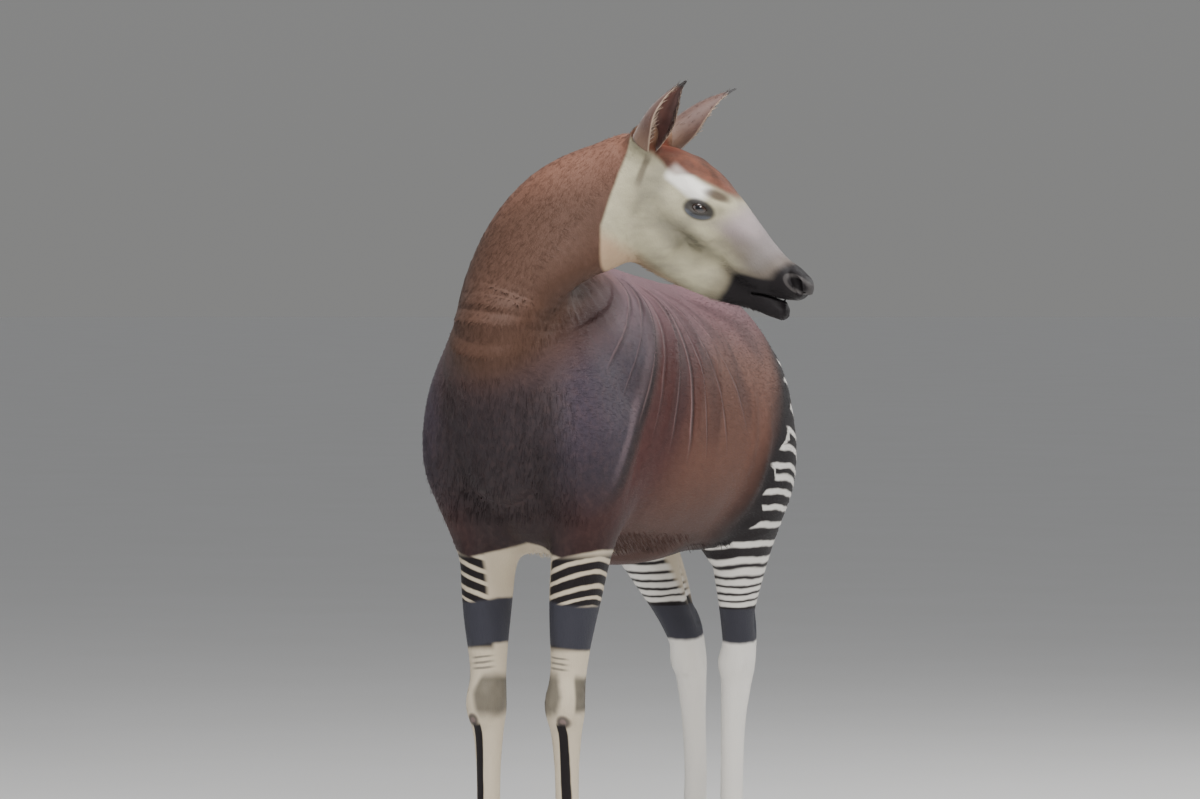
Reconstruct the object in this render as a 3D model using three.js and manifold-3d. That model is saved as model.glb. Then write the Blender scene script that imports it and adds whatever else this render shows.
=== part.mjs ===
// A life-size okapi cow, standing on all four feet and looking back over her left shoulder.
// Millimetres, +Z up. She faces -Y, so her left side is +X.
//
// One distance function describes the whole body: lofts through a few stations and ellipsoids for
// muscles and bones, joined by smooth unions. Each part of the body is that one surface, meshed on
// a grid, thinned to a few triangles and parted from its neighbours by thin plane cuts.
import * as THREE from 'three';
import { mergeVertices } from 'three/addons/utils/BufferGeometryUtils.js';
import Module from 'manifold-3d';

const wasm = await Module();
wasm.setup();

// Driving sizes
const WITHERS = 1500;
const GAP = 0.3;
const SHORT_EDGE = 0.5;
const UP = [0, 0, 1];
const FORWARD = [0, -1, 0];
const SIDES = { left: 1, right: -1 };

// Trunk stations from breast to rump: [y, height of the back, height of the belly, half width]
const TRUNK = [
  [-530, WITHERS - 215, 985, 92],
  [-470, WITHERS - 120, 915, 150],
  [-390, WITHERS - 52, 874, 188],
  [-290, WITHERS - 22, 856, 212],
  [-140, WITHERS - 38, 838, 236],
  [30, WITHERS - 62, 830, 252],
  [200, WITHERS - 82, 852, 248],
  [345, WITHERS - 96, 900, 236],
  [472, WITHERS - 122, 965, 208],
  [566, WITHERS - 170, 1030, 152],
];
const BARREL_LEVEL = 0.46;
// Ridge of the spine: [y, height of its top, half width]
const BACKBONE = [
  [-430, WITHERS - 45, 40],
  [-300, WITHERS, 44],
  [-120, WITHERS - 22, 46],
  [80, WITHERS - 52, 48],
  [300, WITHERS - 78, 56],
  [440, WITHERS - 100, 60],
  [540, WITHERS - 150, 48],
];
const BACKBONE_DEPTH = 75;

// Neck stations from the chest to the head: [x, y, z, half width, reach to the nape, to the throat],
// and the way that the nape faces at each, which turns with the head
const NECK = [
  [0, -300, 1200, 150, 205, 205],
  [-5, -430, 1262, 134, 192, 200],
  [-5, -515, 1335, 108, 165, 172],
  [10, -510, 1430, 90, 140, 142],
  [58, -495, 1520, 82, 129, 146],
  [122, -470, 1588, 77, 124, 152],
  [196, -438, 1628, 72, 120, 146],
  [250, -410, 1645, 66, 108, 122],
];

const NAPE = [
  [0, 0.62, 0.78],
  [0, 0.75, 0.66],
  [-0.25, 0.9, 0.36],
  [-0.62, 0.68, 0.38],
  [-0.72, 0.42, 0.55],
  [-0.64, 0.22, 0.74],
  [-0.5, 0.1, 0.86],
  [-0.4, 0, 0.92],
];

// The head has its own frame: ahead along the face, left across it, and up out of the forehead.
const HEAD_AT = [247, -400, 1703];
const HEAD_TURN = (8 * Math.PI) / 180;
const HEAD_DROP = (35 * Math.PI) / 180;
// Skull and snout: [ahead, level of the centre, half width, reach above, reach below]
const SKULL = [
  [-8, -12, 62, 66, 70],
  [55, 0, 74, 78, 78],
  [120, 8, 82, 80, 80],
  [178, 14, 85, 80, 78],
  [235, 8, 70, 76, 72],
  [290, 2, 55, 65, 62],
  [345, -6, 46, 56, 54],
  [395, -11, 43, 50, 44],
  [434, -9, 44, 45, 34],
  [462, -4, 42, 37, 25],
];
// Lower jaw, in the same columns
const JAW = [
  [58, -78, 46, 60, 66],
  [108, -102, 52, 58, 62],
  [165, -108, 49, 50, 56],
  [230, -106, 41, 44, 48],
  [290, -97, 35, 40, 42],
  [345, -84, 31, 34, 36],
  [395, -73, 30, 27, 27],
  [435, -67, 29, 21, 24],
  [462, -64, 26, 16, 19],
];

// Legs from the trunk down: [distance from the midline, y, z, half width, reach ahead, reach behind]
const FORELEG = [
  [126, -392, 1110, 74, 98, 104],
  [124, -386, 1000, 74, 88, 104],
  [116, -376, 900, 66, 74, 90],
  [107, -380, 800, 55, 62, 66],
  [98, -387, 690, 46, 51, 49],
  [92, -394, 605, 40, 43, 42],
  [89, -399, 548, 42, 47, 42],
  [88, -400, 505, 41, 45, 44],
  [87, -396, 455, 33, 34, 37],
  [86, -393, 380, 27, 27, 33],
  [86, -391, 280, 26, 26, 33],
  [87, -391, 200, 28, 28, 35],
  [88, -393, 156, 34, 33, 37],
  [89, -402, 122, 32, 31, 33],
  [90, -414, 92, 32, 30, 30],
];
const HINDLEG = [
  [112, 425, 1170, 92, 160, 160],
  [136, 415, 1050, 100, 152, 165],
  [142, 395, 940, 90, 126, 145],
  [132, 412, 850, 70, 86, 108],
  [114, 440, 760, 52, 62, 74],
  [97, 470, 680, 39, 46, 48],
  [86, 500, 612, 36, 43, 44],
  [81, 508, 560, 38, 46, 44],
  [78, 502, 505, 34, 38, 40],
  [76, 492, 420, 28, 31, 35],
  [76, 485, 300, 26, 29, 34],
  [77, 481, 200, 28, 30, 35],
  [78, 479, 156, 34, 34, 37],
  [78, 469, 122, 32, 31, 33],
  [78, 456, 92, 32, 30, 30],
];
// Where each foot stands, from its station line: [further out, further back]
const STANCE = {
  fore_left: { side: 1, line: FORELEG, shift: [0, 0] },
  fore_right: { side: -1, line: FORELEG, shift: [8, -26] },
  hind_left: { side: 1, line: HINDLEG, shift: [0, 0] },
  hind_right: { side: -1, line: HINDLEG, shift: [0, 128] },
};
const LEG_SWING_TOP = 1000;
const CANNON_LEVEL = 330;

// Feet: two claws side by side under each pastern
const CLAW_SPACING = 23;
const CLAW_CLEFT = 2.4;
// One claw from the pastern to the sole: [z, ahead of the pastern's end, half width, ahead, behind]
const CLAW = [
  [112, 0, 19, 24, 24],
  [72, 10, 21, 30, 28],
  [34, 14, 24, 46, 36],
  [0, 18, 25, 60, 40],
  [-24, 20, 25, 62, 42],
];
const CORONET_LEVEL = 62;
const CORONET_TILT = (18 * Math.PI) / 180;

// Eyes
const EYE_AT = [197, 66, 24];
const EYE_RADIUS = 21;
const LID_RADIUS = 4.2;
const EYE_OPENING = [19, 12.5];
const LID_SLANT = 0.28;

// Ears: root in the head's frame, tip from the root, and the way that the cup faces
const EAR_ROOT = [5, 62, 50];
const EARS = {
  left: { side: 1, tip: [52, 95, 195], faces: [0.88, 0.45, -0.15] },
  right: { side: -1, tip: [20, -50, 188], faces: [0.95, -0.3, -0.1] },
};
const EAR_STUB = 30;
const STUB_RADIUS = 31;
const EAR_BASE_BACK = 22;
const EAR_LEAN = 14;
const EAR_WALL = 3.4;
// Ear along its length: [share of the length, radius of the curl, half angle of the curl in degrees]
const EAR_CURL = [
  [0, 31, 158],
  [0.12, 34, 134],
  [0.28, 38, 112],
  [0.46, 39, 92],
  [0.64, 35, 78],
  [0.8, 28, 64],
  [0.92, 18, 52],
  [1, 5, 40],
];
const EAR_RINGS = 10;
const EAR_SPOKES = 7;

// Tail: [y, z, half width, half depth], and its tuft of locks
const TAIL = [
  [555, 1322, 34, 34],
  [632, 1302, 27, 27],
  [684, 1245, 22, 21],
  [706, 1160, 18, 17],
  [708, 1070, 15, 14],
  [706, 985, 13, 12],
];
const TUFT_LOCKS = 9;
const TUFT_LENGTH = 190;

// Vectors of the inner loops are plain arrays.
const plus = (a, b, k = 1) => [a[0] + k * b[0], a[1] + k * b[1], a[2] + k * b[2]];
const dot = (a, b) => a[0] * b[0] + a[1] * b[1] + a[2] * b[2];
const cross = (a, b) => [a[1] * b[2] - a[2] * b[1], a[2] * b[0] - a[0] * b[2], a[0] * b[1] - a[1] * b[0]];
const unit = (a) => {
  const length = Math.hypot(...a);
  return a.map((c) => c / length);
};

// The head's axes in the part's frame, and a point or direction given in them
const HEAD_AHEAD = [
  Math.cos(HEAD_DROP) * Math.cos(HEAD_TURN),
  Math.cos(HEAD_DROP) * Math.sin(HEAD_TURN),
  -Math.sin(HEAD_DROP),
];
const HEAD_LEFT = unit(cross(UP, HEAD_AHEAD));
const HEAD_UP = cross(HEAD_AHEAD, HEAD_LEFT);
const inHead = ([ahead, left, up]) =>
  plus(plus(plus([0, 0, 0], HEAD_AHEAD, ahead), HEAD_LEFT, left), HEAD_UP, up);
const atHead = (local) => plus(HEAD_AT, inHead(local));

// A loft through stations [x, y, z, half width, reach towards the hint, reach away from it]. The hint
// is one direction for the whole loft, or a list with one for each station.
// The value at a point is how far it lies outside the skin, measured from the nearest point of the spine.
const STEPS_PER_SPAN = 4;
const CAP = 0.85;
const LOFT_REACH = 150;
const curveOf = (rows) =>
  new THREE.CatmullRomCurve3(rows.map((row) => new THREE.Vector3(...row)), false, 'catmullrom');
function loft(stations, hint, roundness = 2.15) {
  const spine = curveOf(stations.map((row) => row.slice(0, 3)));
  const girth = curveOf(stations.map((row) => row.slice(3)));
  const turns = curveOf(stations.map((_, i) => (Array.isArray(hint[0]) ? hint[i] : hint)));
  const count = (stations.length - 1) * STEPS_PER_SPAN + 1;
  const points = [];
  const sizes = [];
  const hints = [];
  for (let i = 0; i < count; i++) {
    hints.push(turns.getPoint(i / (count - 1)).toArray());
    points.push(spine.getPoint(i / (count - 1)).toArray());
    sizes.push(girth.getPoint(i / (count - 1)).toArray());
  }
  const tangents = points.map((_, i) => {
    const next = points[Math.min(i + 1, count - 1)];
    return unit(plus(next, points[Math.max(i - 1, 0)], -1));
  });
  const aboves = tangents.map((t, i) => unit(plus(hints[i], t, -dot(hints[i], t))));
  const asides = tangents.map((t, i) => cross(aboves[i], t));
  const widest = Math.max(...sizes.flat());
  const middle = points.reduce((sum, p) => plus(sum, p, 1 / count), [0, 0, 0]);
  const reach = Math.max(...points.map((p) => Math.hypot(...plus(p, middle, -1)))) + widest;
  return (p) => {
    const away = Math.hypot(p[0] - middle[0], p[1] - middle[1], p[2] - middle[2]) - reach;
    if (away > LOFT_REACH) return away;
    let best = Infinity;
    let span = 0;
    let share = 0;
    for (let i = 0; i < count - 1; i++) {
      const a = points[i];
      const b = points[i + 1];
      const bx = b[0] - a[0];
      const by = b[1] - a[1];
      const bz = b[2] - a[2];
      const px = p[0] - a[0];
      const py = p[1] - a[1];
      const pz = p[2] - a[2];
      const t = Math.min(1, Math.max(0, (px * bx + py * by + pz * bz) / (bx * bx + by * by + bz * bz)));
      const d = (px - t * bx) ** 2 + (py - t * by) ** 2 + (pz - t * bz) ** 2;
      if (d < best) {
        best = d;
        span = i;
        share = t;
      }
    }
    const mix = (list) => {
      const a = list[span];
      const b = list[span + 1];
      return [a[0] + share * (b[0] - a[0]), a[1] + share * (b[1] - a[1]), a[2] + share * (b[2] - a[2])];
    };
    const [width, ahead, behind] = mix(sizes);
    const offset = plus(p, mix(points), -1);
    const above = dot(offset, mix(aboves));
    const aside = dot(offset, mix(asides));
    const atEnd = (span === 0 && share === 0) || (span === count - 2 && share === 1);
    const along = atEnd ? dot(offset, mix(tangents)) : 0;
    const depth = above > 0 ? ahead : behind;
    const level =
      (Math.abs(aside / width) ** roundness +
        Math.abs(above / depth) ** roundness +
        Math.abs(along / (CAP * Math.min(width, depth))) ** roundness) **
      (1 / roundness);
    const radius = Math.sqrt(aside * aside + above * above + along * along);
    return level < 1e-6 ? -width : radius * (1 - 1 / level);
  };
}

// An ellipsoid with its three half axes along given directions
function ellipsoid(centre, radii, axes = [[1, 0, 0], [0, 1, 0], [0, 0, 1]]) {
  return (p) => {
    const offset = plus(p, centre, -1);
    const a = dot(offset, axes[0]) / radii[0];
    const b = dot(offset, axes[1]) / radii[1];
    const c = dot(offset, axes[2]) / radii[2];
    const level = Math.hypot(a, b, c);
    return (level * (level - 1)) / Math.max(1e-9, Math.hypot(a / radii[0], b / radii[1], c / radii[2]));
  };
}
// An ellipsoid stretched between two points, such as a muscle or a tendon
function muscle(from, to, thickness, breadth, broadWay) {
  const along = unit(plus(to, from, -1));
  const across = unit(plus(broadWay, along, -dot(broadWay, along)));
  const half = Math.hypot(...plus(to, from, -1)) / 2;
  const middle = plus(from, plus(to, from, -1), 0.5);
  return ellipsoid(middle, [half, breadth, thickness], [along, across, cross(along, across)]);
}

// Smooth union: the blend is the width over which two surfaces run together.
function melt(a, b, blend) {
  const near = Math.max(blend - Math.abs(a - b), 0) / blend;
  return Math.min(a, b) - near * near * blend * 0.25;
}

// Flesh of the trunk
const trunkStations = TRUNK.map(([y, back, belly, halfWidth]) => {
  const level = belly + (back - belly) * BARREL_LEVEL;
  return [0, y, level, halfWidth, back - level, level - belly];
});
const backboneStations = BACKBONE.map(([y, top, halfWidth]) =>
  [0, y, top - BACKBONE_DEPTH, halfWidth, BACKBONE_DEPTH, BACKBONE_DEPTH]);
const trunk = [
  { shape: loft(trunkStations, UP, 2.3), blend: 1 },
  { shape: loft(backboneStations, UP, 2), blend: 90 },
  { shape: muscle([0, -560, 1120], [0, -330, 880], 60, 75, [1, 0, 0]), blend: 70 },
  { shape: muscle([0, -40, 850], [0, 330, 905], 40, 120, [1, 0, 0]), blend: 80 },
];
for (const side of Object.values(SIDES)) {
  trunk.push(
    { shape: muscle([side * 62, -250, 1440], [side * 150, -520, 1030], 62, 125, FORWARD), blend: 60 },
    { shape: muscle([side * 120, -210, 1240], [side * 140, -420, 900], 66, 90, FORWARD), blend: 70 },
    { shape: ellipsoid([side * 142, -450, 1105], [70, 108, 165]), blend: 60 },
    { shape: muscle([side * 70, 345, 1410], [side * 150, 455, 900], 84, 178, FORWARD), blend: 80 },
    { shape: muscle([side * 66, 574, 1290], [side * 104, 540, 880], 72, 94, FORWARD), blend: 70 },
    { shape: muscle([side * 118, 290, 1270], [side * 150, 268, 890], 48, 62, FORWARD), blend: 90 },
    { shape: muscle([side * 120, 150, 960], [side * 130, 330, 905], 24, 60, UP), blend: 70 },
  );
}
const tailStations = TAIL.map(([y, z, w, d]) => [0, y, z, w, d, d]);
const tailFlesh = loft(tailStations, [0, 1, 0.4], 2);
const tailRoot = { shape: loft(tailStations.slice(0, 3), [0, 1, 0.4], 2), blend: 26 };

// Legs: a place on one, which moves with the foot by its height's share of the stance
function onLeg({ side, shift }, out, y, z) {
  const swing = Math.min(1, Math.max(0, (LEG_SWING_TOP - z) / (LEG_SWING_TOP - CANNON_LEVEL)));
  return [side * (out + swing * shift[0]), y + swing * shift[1], z];
}
const legStations = (stance) => stance.line.map(([out, y, z, ...girth]) => [...onLeg(stance, out, y, z), ...girth]);
function legFlesh(stance) {
  const stations = legStations(stance);
  const flesh = [{ shape: loft(stations, FORWARD, 2.1), blend: 60 }];
  const at = (x, y, z) => onLeg(stance, x, y, z);
  if (stance.line === FORELEG) {
    flesh.push(
      { shape: muscle(at(122, -300, 930), at(100, -350, 700), 26, 40, FORWARD), blend: 40 },
      { shape: muscle(at(110, -450, 900), at(96, -420, 640), 26, 30, [1, 0, 0]), blend: 40 },
      { shape: ellipsoid(at(89, -428, 528), [32, 20, 42]), blend: 24 },
      { shape: ellipsoid(at(88, -362, 520), [20, 20, 30]), blend: 26 },
    );
  } else {
    flesh.push(
      { shape: muscle(at(108, 520, 850), at(86, 556, 618), 13, 20, FORWARD), blend: 34 },
      { shape: muscle(at(86, 552, 668), at(82, 530, 540), 19, 24, FORWARD), blend: 30 },
      { shape: muscle(at(140, 330, 980), at(118, 345, 800), 40, 50, FORWARD), blend: 50 },
      { shape: ellipsoid(at(80, 474, 565), [30, 18, 36]), blend: 24 },
    );
  }
  const [x, y] = stations[stations.length - 1];
  for (const toe of [-1, 1]) {
    const claw = CLAW.map(([z, ahead, ...girth]) => [x + toe * CLAW_SPACING, y - ahead, z, ...girth]);
    flesh.push({ shape: loft(claw, FORWARD, 2.2), blend: 9 });
  }
  flesh.push({ shape: muscle([x - 26, y + 30, 132], [x + 26, y + 30, 132], 13, 15, UP), blend: 22 });
  return flesh;
}

// Neck and head
const neckFlesh = [
  { shape: loft(NECK, NAPE, 2.1), blend: 110 },
];
const headLoft = (rows, roundness) =>
  loft(rows.map(([ahead, level, ...girth]) => [...atHead([ahead, 0, level]), ...girth]), UP, roundness);
const headAxes = [HEAD_AHEAD, HEAD_LEFT, HEAD_UP];
const headMuscle = (from, to, thickness, breadth, way) =>
  muscle(atHead(from), atHead(to), thickness, breadth, inHead(way));
const headFlesh = [
  { shape: headLoft(SKULL, 2.2), blend: 46 },
  { shape: headLoft(JAW, 2.1), blend: 34 },
  { shape: headMuscle([60, 0, 66], [190, 0, 70], 24, 52, [0, 1, 0]), blend: 40 },
];
for (const side of Object.values(SIDES)) {
  headFlesh.push(
    { shape: headMuscle([62, side * 50, -40], [190, side * 52, -104], 26, 56, [0, 0, 1]), blend: 34 },
    { shape: headMuscle([150, side * 70, 47], [232, side * 62, 44], 12, 17, [0, 1, 0]), blend: 22 },
    { shape: headMuscle([120, side * 74, -6], [250, side * 62, -22], 13, 17, [0, 0, 1]), blend: 26 },
    { shape: ellipsoid(atHead([118, side * 34, 78]), [20, 17, 15], headAxes), blend: 20 },
    { shape: headMuscle([404, side * 27, 12], [474, side * 25, -2], 20, 24, [0, 0, 1]), blend: 20 },
    { shape: headMuscle([300, side * 40, -18], [396, side * 36, -30], 14, 24, [0, 0, 1]), blend: 26 },
  );
}
const earStart = (side) => atHead([EAR_ROOT[0], side * EAR_ROOT[1], EAR_ROOT[2]]);
function earStub(side, tip) {
  const inner = atHead([EAR_ROOT[0] - 12, side * (EAR_ROOT[1] - 34), EAR_ROOT[2] - 26]);
  const outer = plus(earStart(side), unit(inHead(tip)), EAR_STUB + 34);
  return muscle(inner, outer, STUB_RADIUS, STUB_RADIUS, HEAD_AHEAD);
}
for (const { side, tip } of Object.values(EARS)) headFlesh.push({ shape: earStub(side, tip), blend: 26 });

const legs = Object.fromEntries(Object.entries(STANCE).map(([name, stance]) => [name, legFlesh(stance)]));
const bodyFlesh = [...trunk, tailRoot, ...Object.values(legs).flat(), ...neckFlesh];
const skin = (flesh) => (p) => flesh.reduce((value, { shape, blend }) => melt(value, shape(p), blend), 1e3);

// Grid mesher: a vertex in each cell that the surface crosses, drawn onto the surface,
// and a quad across each crossed edge
const KEEP_IN = 1.5;
const FILLED = -0.05;
function meshOf(distance, low, high, cell) {
  const size = [0, 1, 2].map((k) => Math.ceil((high[k] - low[k]) / cell) + 1);
  const index = (i, j, k) => i + size[0] * (j + size[1] * k);
  const values = new Float32Array(size[0] * size[1] * size[2]);
  const inBox = (p) =>
    Math.max(...[0, 1, 2].map((k) => Math.max(low[k] - p[k], p[k] - high[k]) + KEEP_IN * cell));
  const field = (p) => Math.max(distance(p), inBox(p));
  for (let k = 0; k < size[2]; k++)
    for (let j = 0; j < size[1]; j++)
      for (let i = 0; i < size[0]; i++)
        values[index(i, j, k)] = field([low[0] + i * cell, low[1] + j * cell, low[2] + k * cell]);
  // A grid face with its corners in and out by turns would pinch the mesh, so it is filled.
  const steps = [1, size[0], size[0] * size[1]];
  for (let filled = true; filled;) {
    filled = false;
    for (let k = 0; k < size[2] - 1; k++)
      for (let j = 0; j < size[1] - 1; j++)
        for (let i = 0; i < size[0] - 1; i++)
          for (const [u, v] of [[0, 1], [1, 2], [2, 0]]) {
            const a = index(i, j, k);
            const face = [a, a + steps[u], a + steps[u] + steps[v], a + steps[v]];
            const inside = face.map((n) => values[n] < 0);
            if (inside[0] !== inside[2] || inside[1] !== inside[3] || inside[0] === inside[1]) continue;
            face.forEach((n) => (values[n] = Math.min(values[n], FILLED * cell)));
            filled = true;
          }
  }
  const cells = new Map();
  const vertices = [];
  const corners = [[0, 0, 0], [1, 0, 0], [0, 1, 0], [1, 1, 0], [0, 0, 1], [1, 0, 1], [0, 1, 1], [1, 1, 1]];
  const edges = [];
  const apart = (a, b) => Math.abs(a[0] - b[0]) + Math.abs(a[1] - b[1]) + Math.abs(a[2] - b[2]);
  corners.forEach((a, i) => corners.slice(i + 1).forEach((b) => apart(a, b) === 1 && edges.push([a, b])));
  for (let k = 0; k < size[2] - 1; k++)
    for (let j = 0; j < size[1] - 1; j++)
      for (let i = 0; i < size[0] - 1; i++) {
        let sum = [0, 0, 0];
        let crossings = 0;
        for (const [a, b] of edges) {
          const va = values[index(i + a[0], j + a[1], k + a[2])];
          const vb = values[index(i + b[0], j + b[1], k + b[2])];
          if (va < 0 === vb < 0) continue;
          const t = va / (va - vb);
          sum = plus(sum, [a[0] + t * (b[0] - a[0]), a[1] + t * (b[1] - a[1]), a[2] + t * (b[2] - a[2])]);
          crossings++;
        }
        if (!crossings) continue;
        cells.set(index(i, j, k), vertices.length);
        vertices.push(plus(low, plus([i, j, k], sum, 1 / crossings), cell));
      }
  vertices.forEach((p, n) => {
    const step = cell * 0.1;
    const value = field(p);
    const slope = [[1, 0, 0], [0, 1, 0], [0, 0, 1]].map((axis) => (field(plus(p, axis, step)) - value) / step);
    const steep = Math.max(0.3, dot(slope, slope));
    const move = Math.max(-0.6 * cell, Math.min(0.6 * cell, -value / steep));
    if (distance(p) > inBox(p)) vertices[n] = plus(p, slope, move);
  });
  const triangles = [];
  const quad = (a, b, c, d, flip) => {
    const ids = [a, b, c, d].map((id) => cells.get(id));
    if (flip) ids.reverse();
    triangles.push([ids[0], ids[1], ids[2]], [ids[0], ids[2], ids[3]]);
  };
  for (let k = 1; k < size[2] - 1; k++)
    for (let j = 1; j < size[1] - 1; j++)
      for (let i = 1; i < size[0] - 1; i++) {
        const here = values[index(i, j, k)] < 0;
        if (here !== values[index(i + 1, j, k)] < 0)
          quad(index(i, j - 1, k - 1), index(i, j, k - 1), index(i, j, k), index(i, j - 1, k), !here);
        if (here !== values[index(i, j + 1, k)] < 0)
          quad(index(i - 1, j, k - 1), index(i - 1, j, k), index(i, j, k), index(i, j, k - 1), !here);
        if (here !== values[index(i, j, k + 1)] < 0)
          quad(index(i - 1, j - 1, k), index(i, j - 1, k), index(i, j, k), index(i - 1, j, k), !here);
      }
  return { vertices, triangles };
}

// Thins a closed mesh by collapsing the edges that move its surface least, never folding it over.
function thin({ vertices, triangles }, target) {
  const faces = triangles.map((t) => [...t]);
  const around = vertices.map(() => new Set());
  faces.forEach((face, f) => face.forEach((v) => around[v].add(f)));
  const quadric = vertices.map(() => new Float64Array(10));
  const normalOf = (a, b, c) => cross(plus(b, a, -1), plus(c, a, -1));
  faces.forEach((face) => {
    const n = normalOf(...face.map((v) => vertices[v]));
    const area = Math.hypot(...n);
    if (area < 1e-9) return;
    const [x, y, z] = n.map((c) => c / area);
    const w = -dot([x, y, z], vertices[face[0]]);
    const terms = [x * x, x * y, x * z, x * w, y * y, y * z, y * w, z * z, z * w, w * w];
    face.forEach((v) => terms.forEach((term, i) => (quadric[v][i] += term * area)));
  });
  const cost = (q, [x, y, z]) =>
    q[0] * x * x + 2 * q[1] * x * y + 2 * q[2] * x * z + 2 * q[3] * x + q[4] * y * y +
    2 * q[5] * y * z + 2 * q[6] * y + q[7] * z * z + 2 * q[8] * z + q[9];
  const best = (a, b) => {
    const q = quadric[a].map((term, i) => term + quadric[b][i]);
    const half = plus(vertices[a], plus(vertices[b], vertices[a], -1), 0.5);
    const size = Math.hypot(...plus(vertices[a], vertices[b], -1));
    const m = new THREE.Matrix3().set(q[0], q[1], q[2], q[1], q[4], q[5], q[2], q[5], q[7]);
    const places = [half, vertices[a], vertices[b]];
    const scale = (q[0] + q[4] + q[7]) / 3;
    if (Math.abs(m.determinant()) > 1e-4 * scale ** 3) {
      const p = new THREE.Vector3(-q[3], -q[6], -q[8]).applyMatrix3(m.invert()).toArray();
      if (Math.hypot(...plus(p, half, -1)) < 2 * size) places.unshift(p);
    }
    const costs = places.map((p) => cost(q, p) + 1e-4 * size * size * size * size);
    const pick = costs.indexOf(Math.min(...costs));
    return [costs[pick], places[pick]];
  };
  const stamp = new Uint32Array(vertices.length);
  const heap = [];
  const push = (entry) => {
    let i = heap.push(entry) - 1;
    while (i > 0) {
      const up = (i - 1) >> 1;
      if (heap[up][0] <= heap[i][0]) break;
      [heap[up], heap[i]] = [heap[i], heap[up]];
      i = up;
    }
  };
  const pop = () => {
    const top = heap[0];
    const last = heap.pop();
    if (heap.length) {
      heap[0] = last;
      let i = 0;
      for (;;) {
        let down = 2 * i + 1;
        if (down >= heap.length) break;
        if (down + 1 < heap.length && heap[down + 1][0] < heap[down][0]) down++;
        if (heap[i][0] <= heap[down][0]) break;
        [heap[down], heap[i]] = [heap[i], heap[down]];
        i = down;
      }
    }
    return top;
  };
  const neighbours = (v) => {
    const found = new Set();
    around[v].forEach((f) => faces[f].forEach((u) => u !== v && found.add(u)));
    return found;
  };
  const offer = (a, b) => push([...best(a, b), a, b, stamp[a], stamp[b]]);
  vertices.forEach((_, v) => neighbours(v).forEach((u) => u > v && offer(v, u)));
  let left = faces.length;
  while (left > target && heap.length) {
    const [, place, a, b, sa, sb] = pop();
    if (stamp[a] !== sa || stamp[b] !== sb) continue;
    const na = neighbours(a);
    const shared = [...neighbours(b)].filter((v) => na.has(v));
    if (shared.length !== 2) continue;
    const folds = [a, b].some((v) => [...around[v]].some((f) => {
      if (faces[f].includes(a) && faces[f].includes(b)) return false;
      const before = normalOf(...faces[f].map((u) => vertices[u]));
      const after = normalOf(...faces[f].map((u) => (u === v ? place : vertices[u])));
      const area = Math.hypot(...after);
      return area < 1e-3 || dot(before, after) < 0.25 * area * Math.hypot(...before);
    }));
    if (folds) continue;
    vertices[a] = place;
    quadric[b].forEach((term, i) => (quadric[a][i] += term));
    for (const f of [...around[b]]) {
      if (faces[f].includes(a)) {
        faces[f].forEach((v) => around[v].delete(f));
        faces[f] = null;
        left--;
      } else {
        faces[f] = faces[f].map((v) => (v === b ? a : v));
        around[a].add(f);
      }
    }
    around[b].clear();
    stamp[b]++;
    stamp[a]++;
    neighbours(a).forEach((v) => offer(a, v));
  }
  return { vertices, triangles: faces.filter(Boolean) };
}

// Merges the ends of edges too short to matter, which a cut leaves beside its rim.
function mend({ vertices, triangles }) {
  let faces = triangles.map((t) => [...t]);
  for (let round = 0; round < 6; round++) {
    const around = new Map();
    faces.forEach((face) => face.forEach((v) => around.set(v, (around.get(v) ?? []).concat([face]))));
    const ring = (v) => new Set(around.get(v).flat().filter((u) => u !== v));
    const touched = new Set();
    let merged = 0;
    for (const face of faces) {
      for (let i = 0; i < 3; i++) {
        const a = face[i];
        const b = face[(i + 1) % 3];
        if (touched.has(a) || touched.has(b) || a === b) continue;
        if (Math.hypot(...plus(vertices[a], vertices[b], -1)) > SHORT_EDGE) continue;
        const ringA = ring(a);
        const ringB = ring(b);
        if ([...ringB].filter((v) => ringA.has(v)).length !== 2) continue;
        [...ringA, ...ringB].forEach((v) => touched.add(v));
        around.get(b).forEach((f) => f.forEach((v, n) => v === b && (f[n] = a)));
        merged++;
        break;
      }
    }
    faces = faces.filter(([a, b, c]) => a !== b && b !== c && c !== a);
    if (!merged) break;
  }
  return { vertices, triangles: faces };
}

// Closed meshes as solids, turned inside out where their faces point inwards
function solidOf({ vertices, triangles }) {
  const solid = new wasm.Manifold(new wasm.Mesh({
    numProp: 3,
    vertProperties: new Float32Array(vertices.flat()),
    triVerts: new Uint32Array(triangles.flat()),
  }));
  if (solid.volume() > 0) return solid;
  return solidOf({ vertices, triangles: triangles.map(([a, b, c]) => [a, c, b]) });
}
function solidOfGeometry(geometry) {
  const bare = geometry.clone();
  bare.deleteAttribute('normal');
  bare.deleteAttribute('uv');
  const merged = mergeVertices(bare, 1e-3);
  return new wasm.Manifold(new wasm.Mesh({
    numProp: 3,
    vertProperties: merged.attributes.position.array,
    triVerts: new Uint32Array(merged.index.array),
  }));
}
function largestOf(solid) {
  return solid.decompose().reduce((a, b) => (b.volume() > a.volume() ? b : a));
}
// A box turned so that its height runs along a direction, then moved to a point
function placed(box, point, way) {
  const turn = new THREE.Quaternion().setFromUnitVectors(new THREE.Vector3(...UP), new THREE.Vector3(...way));
  return solidOfGeometry(box.applyQuaternion(turn).translate(...point));
}
// A large block with one face through a point, on the side that its normal points away from
const BLOCK = 3000;
function blockBehind(point, normal, gap = GAP / 2) {
  return placed(new THREE.BoxGeometry(BLOCK, BLOCK, BLOCK).translate(0, 0, -BLOCK / 2 - gap), point, normal);
}
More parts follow.
